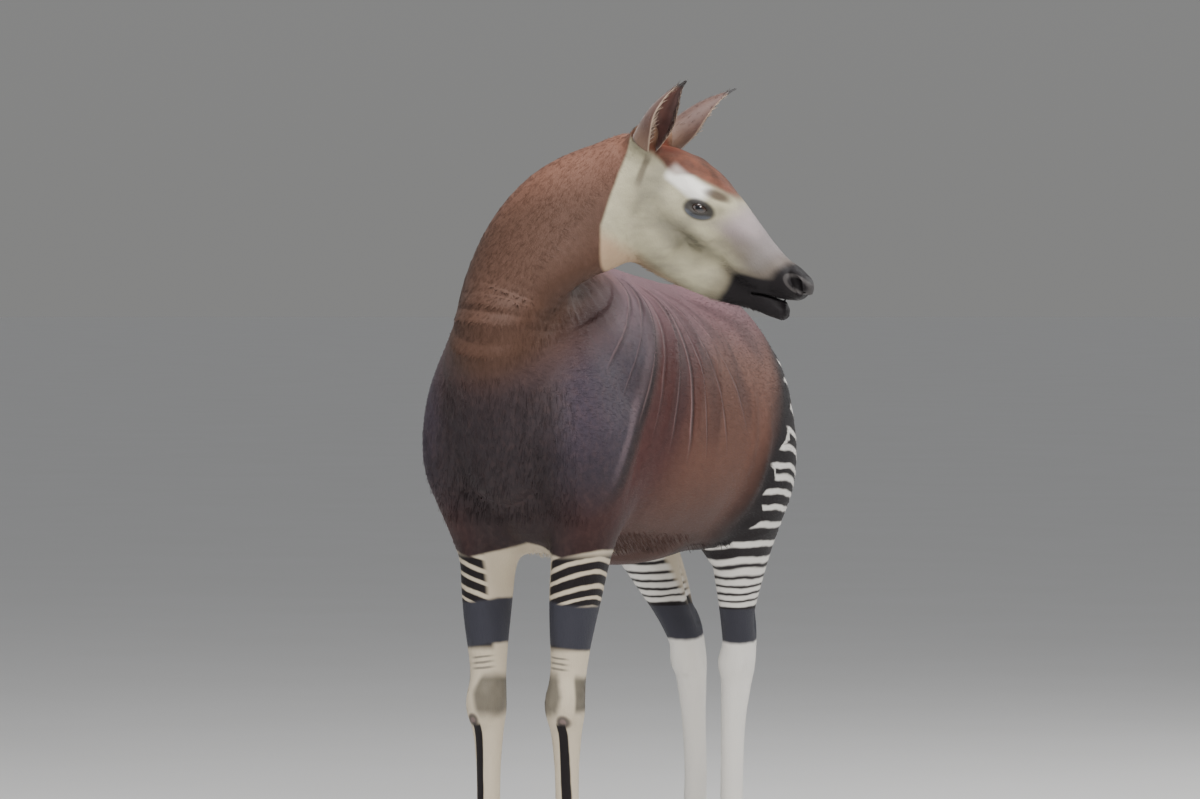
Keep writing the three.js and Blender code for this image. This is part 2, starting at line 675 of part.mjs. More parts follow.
// The room beyond a cut that a part of its own takes up
function roomBeyond({ at, way }, size) {
  return placed(new THREE.BoxGeometry(...size).translate(0, 0, size[2] / 2 - GAP / 2), at, way);
}
const away = (v) => v.map((c) => -c);
function boxBetween(low, high) {
  const box = new THREE.BoxGeometry(high[0] - low[0], high[1] - low[1], high[2] - low[2]);
  box.translate((low[0] + high[0]) / 2, (low[1] + high[1]) / 2, (low[2] + high[2]) / 2);
  return solidOfGeometry(box);
}

// Materials
const coat = (color, roughness = 0.8) => new THREE.MeshStandardMaterial({ color, roughness, metalness: 0 });
const MATERIALS = {
  body: coat(0x4a2a22, 0.62),
  neck: coat(0x5a3b2c, 0.7),
  face: coat(0xb9aa9b),
  ear: coat(0x55352a),
  legs: coat(0xcfc4b4),
  tail: coat(0x4a2e24),
  eye: coat(0x120d0c, 0.08),
  hoof: coat(0x2a2522, 0.45),
};

const okapi = new THREE.Group();
const rows = (list) => Array.from({ length: list.length / 3 }, (_, i) => [...list.slice(3 * i, 3 * i + 3)]);
function addNode(name, solid, material) {
  const mesh = largestOf(solid).getMesh();
  const { vertices, triangles } = mend({ vertices: rows(mesh.vertProperties), triangles: rows(mesh.triVerts) });
  const geometry = new THREE.BufferGeometry();
  geometry.setAttribute('position', new THREE.BufferAttribute(new Float32Array(vertices.flat()), 3));
  geometry.setIndex(new THREE.BufferAttribute(new Uint32Array(triangles.flat()), 1));
  const node = new THREE.Mesh(mergeVertices(geometry.toNonIndexed(), 1e-4), material);
  node.geometry.computeVertexNormals();
  node.name = name;
  okapi.add(node);
}

// Where the parts of the body are divided
const NECK_CUT = { at: [0, -477, 1310], way: unit([0, -0.859, 0.513]) };
const HEAD_CUT = { at: atHead([-34, 0, -40]), way: unit([Math.cos(HEAD_TURN), Math.sin(HEAD_TURN), 0.1]) };
const FORELEG_CUT = 836;
const FORELEG_BACK = -235;
const HINDLEG_FRONT = 205;
const HINDLEG_CUT = { at: [0, 300, 872], way: unit([0, -0.3, 1]) };
const TAIL_CUT = { at: [0, 678, 1254], way: unit([0, 0.45, -0.89]) };
const TAIL_ROOM = [110, 76, 160];
const EAR_ROOM = [98, 98, 72];

const forelegRoom = boxBetween([-400, -700, -50], [400, FORELEG_BACK, FORELEG_CUT + GAP / 2]);
const hindlegRoom = blockBehind(HINDLEG_CUT.at, HINDLEG_CUT.way, -GAP / 2)
  .intersect(boxBetween([-400, HINDLEG_FRONT, -50], [400, 900, 1300]));

// Torso
const torso = solidOf(thin(meshOf(skin(bodyFlesh), [-330, -720, 760], [330, 760, 1580], 22), 2500))
  .intersect(blockBehind(NECK_CUT.at, NECK_CUT.way))
  .subtract(roomBeyond(TAIL_CUT, TAIL_ROOM))
  .subtract(forelegRoom)
  .subtract(hindlegRoom);
addNode('torso', torso, MATERIALS.body);

// Neck
const neckSkin = skin([...trunk, ...neckFlesh, ...headFlesh]);
const neck = solidOf(thin(meshOf(neckSkin, [-260, -760, 1020], [420, -200, 1860], 17), 1500))
  .intersect(blockBehind(NECK_CUT.at, away(NECK_CUT.way)))
  .intersect(blockBehind(HEAD_CUT.at, HEAD_CUT.way));
addNode('neck', neck, MATERIALS.neck);

// Eyeballs, and the lids that ring them as a raised almond
const eyeCentre = (side) => atHead([EYE_AT[0], side * EYE_AT[1], EYE_AT[2]]);
function lids(side) {
  const centre = eyeCentre(side);
  const outward = unit(inHead([0.16, side, 0.08]));
  const ahead = unit(plus(HEAD_AHEAD, outward, -dot(HEAD_AHEAD, outward)));
  const up = cross(ahead, outward).map((c) => c * Math.sign(dot(cross(ahead, outward), HEAD_UP)));
  const [long, tall] = EYE_OPENING;
  const ring = (p) => {
    const offset = plus(p, centre, -1);
    const u = dot(offset, ahead);
    const v = dot(offset, up) - LID_SLANT * u;
    const level = Math.max(0.05, Math.hypot(u / long, v / tall));
    const beside = Math.hypot(u, v) * (1 - 1 / level);
    const rim = Math.sqrt(Math.max(9, EYE_RADIUS ** 2 - (u * u + v * v) / level ** 2));
    return Math.hypot(beside, dot(offset, outward) - rim) - LID_RADIUS;
  };
  const window = plus(centre, outward, EYE_RADIUS * 0.8);
  return { ring, opening: ellipsoid(window, [long, tall, EYE_RADIUS], [ahead, up, outward]) };
}
function ball(centre, radii, axes, detail) {
  const sphere = new THREE.IcosahedronGeometry(1, detail);
  const [a, b, c] = axes.map((axis, i) => new THREE.Vector3(...axis).multiplyScalar(radii[i]));
  const place = new THREE.Matrix4().makeBasis(a, b, c).setPosition(...centre);
  if (place.determinant() < 0) place.makeBasis(a, b, c.negate()).setPosition(...centre);
  return solidOfGeometry(sphere.applyMatrix4(place));
}

// Head: its flesh and lids, less the nostrils, the line of the mouth and the eye sockets
const lidPairs = Object.values(SIDES).map(lids);
const headSkin = skin([...neckFlesh, ...headFlesh]);
const dressedHead = (p) => {
  let value = headSkin(p);
  for (const { opening } of lidPairs) value = -melt(-value, opening(p), 5);
  for (const { ring } of lidPairs) value = melt(value, ring(p), 7);
  return value;
};
const HEAD_CELL = 5.2;
const HEAD_TRIANGLES = 2500;
let head = solidOf(thin(meshOf(dressedHead, [160, -560, 1330], [730, -190, 1850], HEAD_CELL), HEAD_TRIANGLES));

const MOUTH_LINE = [[496, -24], [470, -33], [440, -44], [412, -54], [388, -66]];
const MOUTH_HEIGHT = 4;
const MOUTH_DEPTH = 9;
const MOUTH_STEPS = 8;
const MOUTH_BREADTH = 160;
function mouthCutter() {
  const line = new THREE.SplineCurve(MOUTH_LINE.map((row) => new THREE.Vector2(...row))).getPoints(MOUTH_STEPS);
  const opening = (i) => (MOUTH_HEIGHT * (line.length - 1 - i)) / line.length + 0.4;
  const lower = line.map((p, i) => new THREE.Vector2(p.x, p.y - opening(i)));
  const outline = new THREE.Shape([...line, ...lower.reverse()]);
  const plate = new THREE.ExtrudeGeometry(outline, { depth: MOUTH_BREADTH, bevelEnabled: false });
  plate.translate(0, 0, -MOUTH_BREADTH / 2);
  const basis = new THREE.Matrix4().makeBasis(
    new THREE.Vector3(...HEAD_AHEAD),
    new THREE.Vector3(...HEAD_UP),
    new THREE.Vector3(...away(HEAD_LEFT)),
  ).setPosition(...HEAD_AT);
  const inner = meshOf((p) => headSkin(p) + MOUTH_DEPTH, [490, -470, 1300], [730, -230, 1560], 9);
  return solidOfGeometry(plate.applyMatrix4(basis)).subtract(solidOf(thin(inner, 300)));
}
head = head.subtract(mouthCutter());
const NOSTRIL = [
  { at: [462, 34, 8], radii: [23, 12, 11] },
  { at: [446, 40, 19], radii: [15, 9, 7.5] },
];
for (const [name, side] of Object.entries(SIDES)) {
  const outward = unit(inHead([0.45, side, 0.12]));
  const slant = inHead([-0.8, 0, 0.6]);
  const along = unit(plus(slant, outward, -dot(slant, outward)));
  for (const { at, radii } of NOSTRIL)
    head = head.subtract(ball(atHead([at[0], side * at[1], at[2]]), radii, [along, outward, cross(along, outward)], 1));
  head = head.subtract(ball(eyeCentre(side), Array(3).fill(EYE_RADIUS + GAP), headAxes, 3));
  addNode(`eye_${name}`, ball(eyeCentre(side), Array(3).fill(EYE_RADIUS), headAxes, 3), MATERIALS.eye);
}
head = head.intersect(blockBehind(HEAD_CUT.at, away(HEAD_CUT.way)));

// Ears: a thin curled leaf on a short solid root that continues the head's stub
function earLeaf(side, tip, faces) {
  const way = inHead(tip);
  const back = unit(plus(inHead(faces), unit(way), -dot(inHead(faces), unit(way))));
  const across = cross(unit(way), back);
  const start = earStart(side);
  const curl = new THREE.CatmullRomCurve3(EAR_CURL.map((row) => new THREE.Vector3(...row)));
  const rings = [];
  for (let i = 0; i <= EAR_RINGS; i++) {
    const { x: share, y: radius, z: half } = curl.getPoint(i / EAR_RINGS);
    const angle = (half * Math.PI) / 180;
    const set = radius - EAR_BASE_BACK * (1 - share) - EAR_LEAN * Math.sin(Math.PI * share);
    const spine = plus(plus(start, way, 0.1 + 0.9 * share), back, set);
    const wall = (r) => Array.from({ length: EAR_SPOKES }, (_, j) => {
      const turn = angle * ((2 * j) / (EAR_SPOKES - 1) - 1);
      return plus(plus(spine, back, -r * Math.cos(turn)), across, r * Math.sin(turn));
    });
    rings.push([...wall(radius), ...wall(Math.max(1, radius - EAR_WALL)).reverse()]);
  }
  const sides = 2 * EAR_SPOKES;
  const triangles = [];
  for (let i = 0; i < EAR_RINGS; i++)
    for (let j = 0; j < sides; j++) {
      const [a, b] = [i * sides + j, i * sides + ((j + 1) % sides)];
      triangles.push([a, b, b + sides], [a, b + sides, a + sides]);
    }
  for (const [ring, flip] of [[0, true], [EAR_RINGS, false]])
    for (let j = 0; j < EAR_SPOKES - 1; j++) {
      const [a, b, c, d] = [j, j + 1, sides - 2 - j, sides - 1 - j].map((n) => ring * sides + n);
      triangles.push(...(flip ? [[a, c, b], [a, d, c]] : [[a, b, c], [a, c, d]]));
    }
  return solidOf({ vertices: rings.flat(), triangles });
}
for (const [name, { side, tip, faces }] of Object.entries(EARS)) {
  const way = unit(inHead(tip));
  const cut = plus(earStart(side), way, EAR_STUB);
  const low = plus(cut, [1, 1, 1], -75);
  const stub = solidOf(thin(meshOf(earStub(side, tip), low, plus(low, [1, 1, 1], 150), 7), 110));
  const leaf = earLeaf(side, tip, faces);
  addNode(`ear_${name}`, leaf.add(stub).intersect(blockBehind(cut, away(way))), MATERIALS.ear);
  head = head.subtract(roomBeyond({ at: cut, way }, EAR_ROOM));
}
addNode('head', head, MATERIALS.face);

// Legs and claws
for (const [name, stance] of Object.entries(STANCE)) {
  const stations = legStations(stance);
  const [footX, footY] = stations[stations.length - 1];
  const isFore = stance.line === FORELEG;
  const low = [stance.side > 0 ? 6 : -330, isFore ? -620 : 180, -8];
  const high = [stance.side > 0 ? 330 : -6, isFore ? -180 : 760, isFore ? 920 : 1080];
  const mesh = thin(meshOf(skin([...trunk, ...legs[name]]), low, high, 11), 1050);
  const coronet = { at: [footX, footY - 12, CORONET_LEVEL], way: [0, Math.sin(CORONET_TILT), Math.cos(CORONET_TILT)] };
  let leg = solidOf(mesh).intersect(blockBehind(coronet.at, away(coronet.way)));
  leg = isFore
    ? leg.intersect(boxBetween([-400, -700, 0], [400, FORELEG_BACK, FORELEG_CUT - GAP / 2]))
    : leg.intersect(blockBehind(HINDLEG_CUT.at, HINDLEG_CUT.way))
      .intersect(boxBetween([-400, HINDLEG_FRONT + GAP, 0], [400, 900, 1300]));
  addNode('leg_' + name, leg, MATERIALS.legs);
  const footLow = [footX - 90, footY - 130, -30];
  const footHigh = [footX + 90, footY + 90, 110];
  const foot = solidOf(thin(meshOf(skin(legs[name]), footLow, footHigh, 6), 300));
  for (const toe of [-1, 1]) {
    const which = toe * stance.side > 0 ? 'outer' : 'inner';
    const claw = foot
      .intersect(blockBehind(coronet.at, coronet.way))
      .intersect(boxBetween([-1000, -1000, 0], [1000, 1000, 200]))
      .intersect(blockBehind([footX, footY, 0], [-toe, 0, 0], CLAW_CLEFT / 2));
    addNode(`claw_${name}_${which}`, claw, MATERIALS.hoof);
  }
}

// Tail, and the flat tapered locks of its tuft
const LOCK_RINGS = 5;
const LOCK_TURN = 2.4;
const LOCK_SIZE = [13, 6];
function lock(turn, share) {
  const [, lastY, lastZ] = tailStations[tailStations.length - 1];
  const outward = [Math.cos(turn), Math.sin(turn), 0];
  const across = [-Math.sin(turn), Math.cos(turn), 0];
  const length = TUFT_LENGTH * (0.72 + 0.28 * share);
  const start = [0, lastY, lastZ + 75 * (1 - share)];
  const vertices = [start];
  for (let i = 1; i < LOCK_RINGS; i++) {
    const t = i / LOCK_RINGS;
    const swell = Math.sin(Math.PI * Math.min(1, 0.25 + 0.75 * t)) ** 0.8;
    const centre = plus(plus(start, outward, 4 + 22 * Math.sin(2.2 * t)), UP, -t * length);
    const [wide, thick] = LOCK_SIZE.map((size) => size * swell);
    vertices.push(plus(centre, across, wide), plus(centre, outward, thick));
    vertices.push(plus(centre, across, -wide), plus(centre, outward, -thick));
  }
  vertices.push(plus(plus(start, outward, 16), UP, -length));
  const triangles = [];
  const last = vertices.length - 1;
  for (let j = 0; j < 4; j++) {
    const k = (j + 1) % 4;
    triangles.push([0, 1 + j, 1 + k], [last, last - 4 + k, last - 4 + j]);
    for (let i = 0; i < LOCK_RINGS - 2; i++) {
      const [a, b] = [1 + 4 * i + j, 1 + 4 * i + k];
      triangles.push([a, a + 4, b + 4], [a, b + 4, b]);
    }
  }
  return solidOf({ vertices, triangles });
}
let tail = solidOf(thin(meshOf(tailFlesh, [-60, 480, 900], [60, 780, 1400], 7), 260))
  .intersect(blockBehind(TAIL_CUT.at, away(TAIL_CUT.way)));
for (let i = 0; i < TUFT_LOCKS; i++) {
  tail = tail.add(lock(i * LOCK_TURN, ((i * 7) % TUFT_LOCKS) / (TUFT_LOCKS - 1)));
}
addNode('tail', tail, MATERIALS.tail);

// The middle of the footprint is the part's origin.
const bounds = new THREE.Box3().setFromObject(okapi);
okapi.position.set(-(bounds.min.x + bounds.max.x) / 2, -(bounds.min.y + bounds.max.y) / 2, -bounds.min.z);
okapi.updateMatrixWorld(true);

export default okapi;
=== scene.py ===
"""The look of a life-size okapi: one skin with its folds and lids, a short coat, eyes and hooves.

Sizes of the body are in millimetres in its own frame, where it stands on z = 0 and faces -y.
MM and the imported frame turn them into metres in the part's frame.
"""
import math

import bmesh
import bpy
import numpy as np
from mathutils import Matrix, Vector


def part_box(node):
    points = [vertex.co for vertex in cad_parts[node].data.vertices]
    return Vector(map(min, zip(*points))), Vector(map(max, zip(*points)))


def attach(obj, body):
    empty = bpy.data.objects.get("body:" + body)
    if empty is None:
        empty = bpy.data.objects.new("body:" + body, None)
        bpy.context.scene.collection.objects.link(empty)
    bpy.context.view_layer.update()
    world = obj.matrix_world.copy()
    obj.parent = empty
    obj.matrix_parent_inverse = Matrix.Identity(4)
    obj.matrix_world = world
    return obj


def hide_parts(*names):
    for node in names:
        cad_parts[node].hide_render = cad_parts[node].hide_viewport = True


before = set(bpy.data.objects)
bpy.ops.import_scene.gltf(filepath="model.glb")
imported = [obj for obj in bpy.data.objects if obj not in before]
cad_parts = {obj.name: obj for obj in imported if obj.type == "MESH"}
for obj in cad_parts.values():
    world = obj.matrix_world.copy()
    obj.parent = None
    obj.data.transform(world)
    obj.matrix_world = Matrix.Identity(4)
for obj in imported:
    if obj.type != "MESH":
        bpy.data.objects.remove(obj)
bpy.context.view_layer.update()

MM = 0.001
RANDOM = np.random.default_rng(7)

# Driving sizes, the same as the solids'
WITHERS = 1500
UP = (0, 0, 1)
FORWARD = (0, -1, 0)
SIDES = {"left": 1, "right": -1}

# Trunk stations from breast to rump: y, height of the back, height of the belly, half width
TRUNK = [
    (-530, WITHERS - 215, 985, 92),
    (-470, WITHERS - 120, 915, 150),
    (-390, WITHERS - 52, 874, 188),
    (-290, WITHERS - 22, 856, 212),
    (-140, WITHERS - 38, 838, 236),
    (30, WITHERS - 62, 830, 252),
    (200, WITHERS - 82, 852, 248),
    (345, WITHERS - 96, 900, 236),
    (472, WITHERS - 122, 965, 208),
    (566, WITHERS - 170, 1030, 152),
]
BARREL_LEVEL = 0.46
# Backbone stations: y, its top, half width
BACKBONE = [
    (-430, WITHERS - 45, 40),
    (-300, WITHERS, 44),
    (-120, WITHERS - 22, 46),
    (80, WITHERS - 52, 48),
    (300, WITHERS - 78, 56),
    (440, WITHERS - 100, 60),
    (540, WITHERS - 150, 48),
]
BACKBONE_DEPTH = 75

# Neck stations: x, y, z, half width, reach to the nape, reach to the throat; and where the nape faces
NECK = [
    (0, -300, 1200, 150, 205, 205),
    (-5, -430, 1262, 134, 192, 200),
    (-5, -515, 1335, 108, 165, 172),
    (10, -510, 1430, 90, 140, 142),
    (58, -495, 1520, 82, 129, 146),
    (122, -470, 1588, 77, 124, 152),
    (196, -438, 1628, 72, 120, 146),
    (250, -410, 1645, 66, 108, 122),
]
NAPE = [
    (0, 0.62, 0.78),
    (0, 0.75, 0.66),
    (-0.25, 0.9, 0.36),
    (-0.62, 0.68, 0.38),
    (-0.72, 0.42, 0.55),
    (-0.64, 0.22, 0.74),
    (-0.5, 0.1, 0.86),
    (-0.4, 0, 0.92),
]

# The head's own frame: ahead along the face, left across it, up out of the forehead
HEAD_AT = (247, -400, 1703)
HEAD_TURN = math.radians(8)
HEAD_DROP = math.radians(35)
# Skull and jaw stations: ahead, level, half width, reach up, reach down
SKULL = [
    (-8, -12, 62, 66, 70),
    (55, 0, 74, 78, 78),
    (120, 8, 82, 80, 80),
    (178, 14, 85, 80, 78),
    (235, 8, 70, 76, 72),
    (290, 2, 55, 65, 62),
    (345, -6, 46, 56, 54),
    (395, -11, 43, 50, 44),
    (434, -9, 44, 45, 34),
    (462, -4, 42, 37, 25),
]
JAW = [
    (58, -78, 46, 60, 66),
    (108, -102, 52, 58, 62),
    (165, -108, 49, 50, 56),
    (230, -106, 41, 44, 48),
    (290, -97, 35, 40, 42),
    (345, -84, 31, 34, 36),
    (395, -73, 30, 27, 27),
    (435, -67, 29, 21, 24),
    (462, -64, 26, 16, 19),
]

# Legs: distance from the midline, y, z, half width, reach ahead, reach behind
FORELEG = [
    (126, -392, 1110, 74, 98, 104),
    (124, -386, 1000, 74, 88, 104),
    (116, -376, 900, 66, 74, 90),
    (107, -380, 800, 55, 62, 66),
    (98, -387, 690, 46, 51, 49),
    (92, -394, 605, 40, 43, 42),
    (89, -399, 548, 42, 47, 42),
    (88, -400, 505, 41, 45, 44),
    (87, -396, 455, 33, 34, 37),
    (86, -393, 380, 27, 27, 33),
    (86, -391, 280, 26, 26, 33),
    (87, -391, 200, 28, 28, 35),
    (88, -393, 156, 34, 33, 37),
    (89, -402, 122, 32, 31, 33),
    (90, -414, 92, 32, 30, 30),
]
HINDLEG = [
    (112, 425, 1170, 92, 160, 160),
    (136, 415, 1050, 100, 152, 165),
    (142, 395, 940, 90, 126, 145),
    (132, 412, 850, 70, 86, 108),
    (114, 440, 760, 52, 62, 74),
    (97, 470, 680, 39, 46, 48),
    (86, 500, 612, 36, 43, 44),
    (81, 508, 560, 38, 46, 44),
    (78, 502, 505, 34, 38, 40),
    (76, 492, 420, 28, 31, 35),
    (76, 485, 300, 26, 29, 34),
    (77, 481, 200, 28, 30, 35),
    (78, 479, 156, 34, 34, 37),
    (78, 469, 122, 32, 31, 33),
    (78, 456, 92, 32, 30, 30),
]
# Each leg's side, its stations, and how far its foot is shifted out and back
STANCE = {
    "fore_left": (1, FORELEG, (0, 0)),
    "fore_right": (-1, FORELEG, (8, -26)),
    "hind_left": (1, HINDLEG, (0, 0)),
    "hind_right": (-1, HINDLEG, (0, 128)),
}
LEG_SWING_TOP = 1000
CANNON_LEVEL = 330

# Claw stations: z, place ahead of the foot, half width, reach ahead, reach behind
CLAW_SPACING = 23
CLAW = [
    (112, 0, 19, 24, 24),
    (72, 10, 21, 30, 28),
    (34, 14, 24, 46, 36),
    (0, 18, 25, 60, 40),
    (-24, 20, 25, 62, 42),
]
CORONET_LEVEL = 62
CORONET_TILT = math.radians(18)

EYE_AT = (197, 66, 24)
EYE_RADIUS = 21
LID_RADIUS = 4.2
EYE_OPENING = (19, 12.5)
LID_SLANT = 0.28

EAR_ROOT = (5, 62, 50)
# Each ear's side, its way from root to tip, and the way its back faces, in the head's frame
EARS = {
    "left": (1, (52, 95, 195), (0.88, 0.45, -0.15)),
    "right": (-1, (20, -50, 188), (0.95, -0.3, -0.1)),
}
EAR_STUB = 30
STUB_RADIUS = 31
EAR_BASE_BACK = 22
EAR_LEAN = 14
# Share of the ear's length, the radius it curls round and half the angle it covers
EAR_CURL = [
    (0, 31, 158),
    (0.12, 34, 134),
    (0.28, 38, 112),
    (0.46, 39, 92),
    (0.64, 35, 78),
    (0.8, 28, 64),
    (0.92, 18, 52),
    (1, 5, 40),
]

# Tail stations: y, z, half width, reach ahead and behind
TAIL = [
    (555, 1322, 34, 34),
    (632, 1302, 27, 27),
    (684, 1245, 22, 21),
    (706, 1160, 18, 17),
    (708, 1070, 15, 14),
    (706, 985, 13, 12),
]

# The coat's depth: the skin lies this far inside the solids
COAT_DEPTH = 1.6


def unit(v):
    """A vector, or each row of a table of them, at length one."""
    v = np.asarray(v, dtype=float)
    return v / np.maximum(np.linalg.norm(v, axis=-1, keepdims=True), 1e-9)


HEAD_AHEAD = np.array([
    math.cos(HEAD_DROP) * math.cos(HEAD_TURN),
    math.cos(HEAD_DROP) * math.sin(HEAD_TURN),
    -math.sin(HEAD_DROP),
])
HEAD_LEFT = unit(np.cross(UP, HEAD_AHEAD))
HEAD_UP = np.cross(HEAD_AHEAD, HEAD_LEFT)
HEAD_AXES = np.array([HEAD_AHEAD, HEAD_LEFT, HEAD_UP])


def in_head(v):
    """A way set out as ahead, left and up in the head's frame, in the body's."""
    return np.asarray(v, dtype=float) @ HEAD_AXES


def at_head(v):
    """A place set out in the head's frame, in the body's."""
    return np.array(HEAD_AT) + in_head(v)


def from_head(points):
    """Points of the body as (ahead, left, up) in the head's frame."""
    return (points - np.array(HEAD_AT)) @ HEAD_AXES.T


# Where the body's frame lies in the part's: the eyes are at the same place in both
eye_low, eye_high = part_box("eye_left")
SHIFT = np.array([(a + b) / 2 / MM for a, b in zip(eye_low, eye_high)]) - at_head(EYE_AT)


def to_part(points):
    """Places of the body, in millimetres, in the part's frame, in metres."""
    return (np.asarray(points) + SHIFT) * MM


# Smooth curves through stations
def curve(rows, count):
    """A Catmull-Rom curve through rows, sampled evenly from end to end."""
    rows = np.asarray(rows, dtype=float)
    ends = np.vstack([2 * rows[0] - rows[1], rows, 2 * rows[-1] - rows[-2]])
    place = np.linspace(0, len(rows) - 1, count)
    span = np.minimum(place.astype(int), len(rows) - 2)
    t = (place - span)[:, None]
    a, b, c, d = (ends[span + k] for k in range(4))
    lead = (c - a) / 2
    follow = (d - b) / 2
    return ((2 * b - 2 * c + lead + follow) * t ** 3 + (3 * c - 3 * b - 2 * lead - follow) * t ** 2
            + lead * t + b)


# The body as a distance function: lofts and ellipsoids joined by smooth unions
STEPS_PER_SPAN = 4
CAP = 0.85
FAR = 130.0


def loft(stations, hint, roundness=2.15):
    """The distance to a tube through stations: place, half width, and reach either side of it."""
    stations = np.asarray(stations, dtype=float)
    count = (len(stations) - 1) * STEPS_PER_SPAN + 1
    ways = np.asarray(hint, dtype=float)
    if ways.ndim == 1:
        ways = np.tile(ways, (len(stations), 1))
    points = curve(stations[:, :3], count)
    sizes = curve(stations[:, 3:], count)
    hints = curve(ways, count)
    ahead = np.vstack([points[1:], points[-1:]]) - np.vstack([points[:1], points[:-1]])
    tangents = unit(ahead)
    aboves = unit(hints - tangents * np.sum(hints * tangents, axis=1)[:, None])
    asides = np.cross(aboves, tangents)
    low = points.min(0) - sizes.max() - FAR
    high = points.max(0) + sizes.max() + FAR

    def distance(p):
        result = np.full(len(p), FAR)
        near = np.flatnonzero(np.all((p > low) & (p < high), axis=1))
        if not len(near):
            return result
        q = p[near]
        qx, qy, qz = np.ascontiguousarray(q.T)
        best = np.full(len(q), np.inf)
        span = np.zeros(len(q), dtype=int)
        share = np.zeros(len(q))
        for i in range(count - 1):
            ax, ay, az = points[i + 1] - points[i]
            dx = qx - points[i, 0]
            dy = qy - points[i, 1]
            dz = qz - points[i, 2]
            t = np.clip((dx * ax + dy * ay + dz * az) / (ax * ax + ay * ay + az * az), 0, 1)
            dx -= t * ax
            dy -= t * ay
            dz -= t * az
            gap = dx * dx + dy * dy + dz * dz
            closer = np.flatnonzero(gap < best)
            best[closer] = gap[closer]
            span[closer] = i
            share[closer] = t[closer]

        def mix(table):
            return table[span] + share[:, None] * (table[span + 1] - table[span])

        girth = mix(sizes)
        offset = q - mix(points)
        above = (offset * mix(aboves)).sum(1)
        aside = (offset * mix(asides)).sum(1)
        at_end = ((span == 0) & (share == 0)) | ((span == count - 2) & (share == 1))
        along = np.where(at_end, (offset * mix(tangents)).sum(1), 0)
        depth = np.where(above > 0, girth[:, 1], girth[:, 2])
        cap = CAP * np.minimum(girth[:, 0], depth)
        level = (np.abs(aside / girth[:, 0]) ** roundness + np.abs(above / depth) ** roundness
                 + np.abs(along / cap) ** roundness) ** (1 / roundness)
        radius = np.sqrt(aside ** 2 + above ** 2 + along ** 2)
        value = np.where(level < 1e-6, -girth[:, 0], radius * (1 - 1 / np.maximum(level, 1e-6)))
        result[near] = np.minimum(value, FAR)
        return result

    return distance


def ellipsoid(centre, radii, axes=np.eye(3)):
    """The distance to an ellipsoid, true near its surface."""
    centre = np.asarray(centre, dtype=float)
    radii = np.asarray(radii, dtype=float)
    axes = np.asarray(axes, dtype=float)
    reach = radii.max() + FAR

    def distance(p):
        result = np.full(len(p), FAR)
        offset = p - centre
        near = np.flatnonzero(np.einsum("ij,ij->i", offset, offset) < reach ** 2)
        if not len(near):
            return result
        scaled = offset[near] @ axes.T / radii
        level = np.sqrt(np.einsum("ij,ij->i", scaled, scaled))
        slope = np.maximum(np.sqrt(np.einsum("ij,ij->i", scaled / radii, scaled / radii)), 1e-9)
        result[near] = np.minimum(level * (level - 1) / slope, FAR)
        return result

    return distance


def muscle(start, end, thickness, breadth, broad_way):
    """An ellipsoid from end to end of a muscle, broad one way and thin the other."""
    start = np.asarray(start, dtype=float)
    end = np.asarray(end, dtype=float)
    along = unit(end - start)
    broad_way = np.asarray(broad_way, dtype=float)
    across = unit(broad_way - along * (broad_way @ along))
    half = np.linalg.norm(end - start) / 2
    return ellipsoid((start + end) / 2, (half, breadth, thickness), (along, across, np.cross(along, across)))


def melt(a, b, blend):
    """The union of two distances, rounded off where they come near each other."""
    result = np.minimum(a, b)
    near = np.flatnonzero(np.abs(a - b) < blend)
    share = 1 - np.abs(a[near] - b[near]) / blend
    result[near] -= share * share * blend * 0.25
    return result


def skin_of(flesh):
    """The distance to a list of shapes, each melted into those before it."""
    def distance(p):
        value = np.full(len(p), 1e3)
        for shape, blend in flesh:
            value = melt(value, shape(p), blend)
        return value

    return distance


def trunk_flesh():
    """Barrel, backbone, brisket and belly, with the muscles of shoulder and haunch."""
    stations = []
    for y, back, belly, half_width in TRUNK:
        level = belly + (back - belly) * BARREL_LEVEL
        stations.append((0, y, level, half_width, back - level, level - belly))
    backbone = [(0, y, top - BACKBONE_DEPTH, w, BACKBONE_DEPTH, BACKBONE_DEPTH) for y, top, w in BACKBONE]
    flesh = [
        (loft(stations, UP, 2.3), 1),
        (loft(backbone, UP, 2), 90),
        (muscle((0, -560, 1120), (0, -330, 880), 60, 75, (1, 0, 0)), 70),
        (muscle((0, -40, 850), (0, 330, 905), 40, 120, (1, 0, 0)), 80),
    ]
    for side in SIDES.values():
        flesh += [
            (muscle((side * 62, -250, 1440), (side * 150, -520, 1030), 62, 125, FORWARD), 60),
            (muscle((side * 120, -210, 1240), (side * 140, -420, 900), 66, 90, FORWARD), 70),
            (ellipsoid((side * 142, -450, 1105), (70, 108, 165)), 60),
            (muscle((side * 70, 345, 1410), (side * 150, 455, 900), 84, 178, FORWARD), 80),
            (muscle((side * 66, 574, 1290), (side * 104, 540, 880), 72, 94, FORWARD), 70),
            (muscle((side * 118, 290, 1270), (side * 150, 268, 890), 48, 62, FORWARD), 90),
            (muscle((side * 120, 150, 960), (side * 130, 330, 905), 24, 60, UP), 70),
        ]
    return flesh


def swing(z):
    """How much of a leg's shift its stations take: none at the top, all at the cannon."""
    return min(1, max(0, (LEG_SWING_TOP - z) / (LEG_SWING_TOP - CANNON_LEVEL)))


def leg_stations(side, line, shift):
    """A leg's stations on its own side of the body, in its own stance."""
    return [(side * (out + swing(z) * shift[0]), y + swing(z) * shift[1], z, *girth)
            for out, y, z, *girth in line]


def claw_lines(stations):
    """The stations of the two claws under a leg."""
    x, y = stations[-1][:2]
    return [[(x + toe * CLAW_SPACING, y - ahead, z, *girth) for z, ahead, *girth in CLAW] for toe in (-1, 1)]


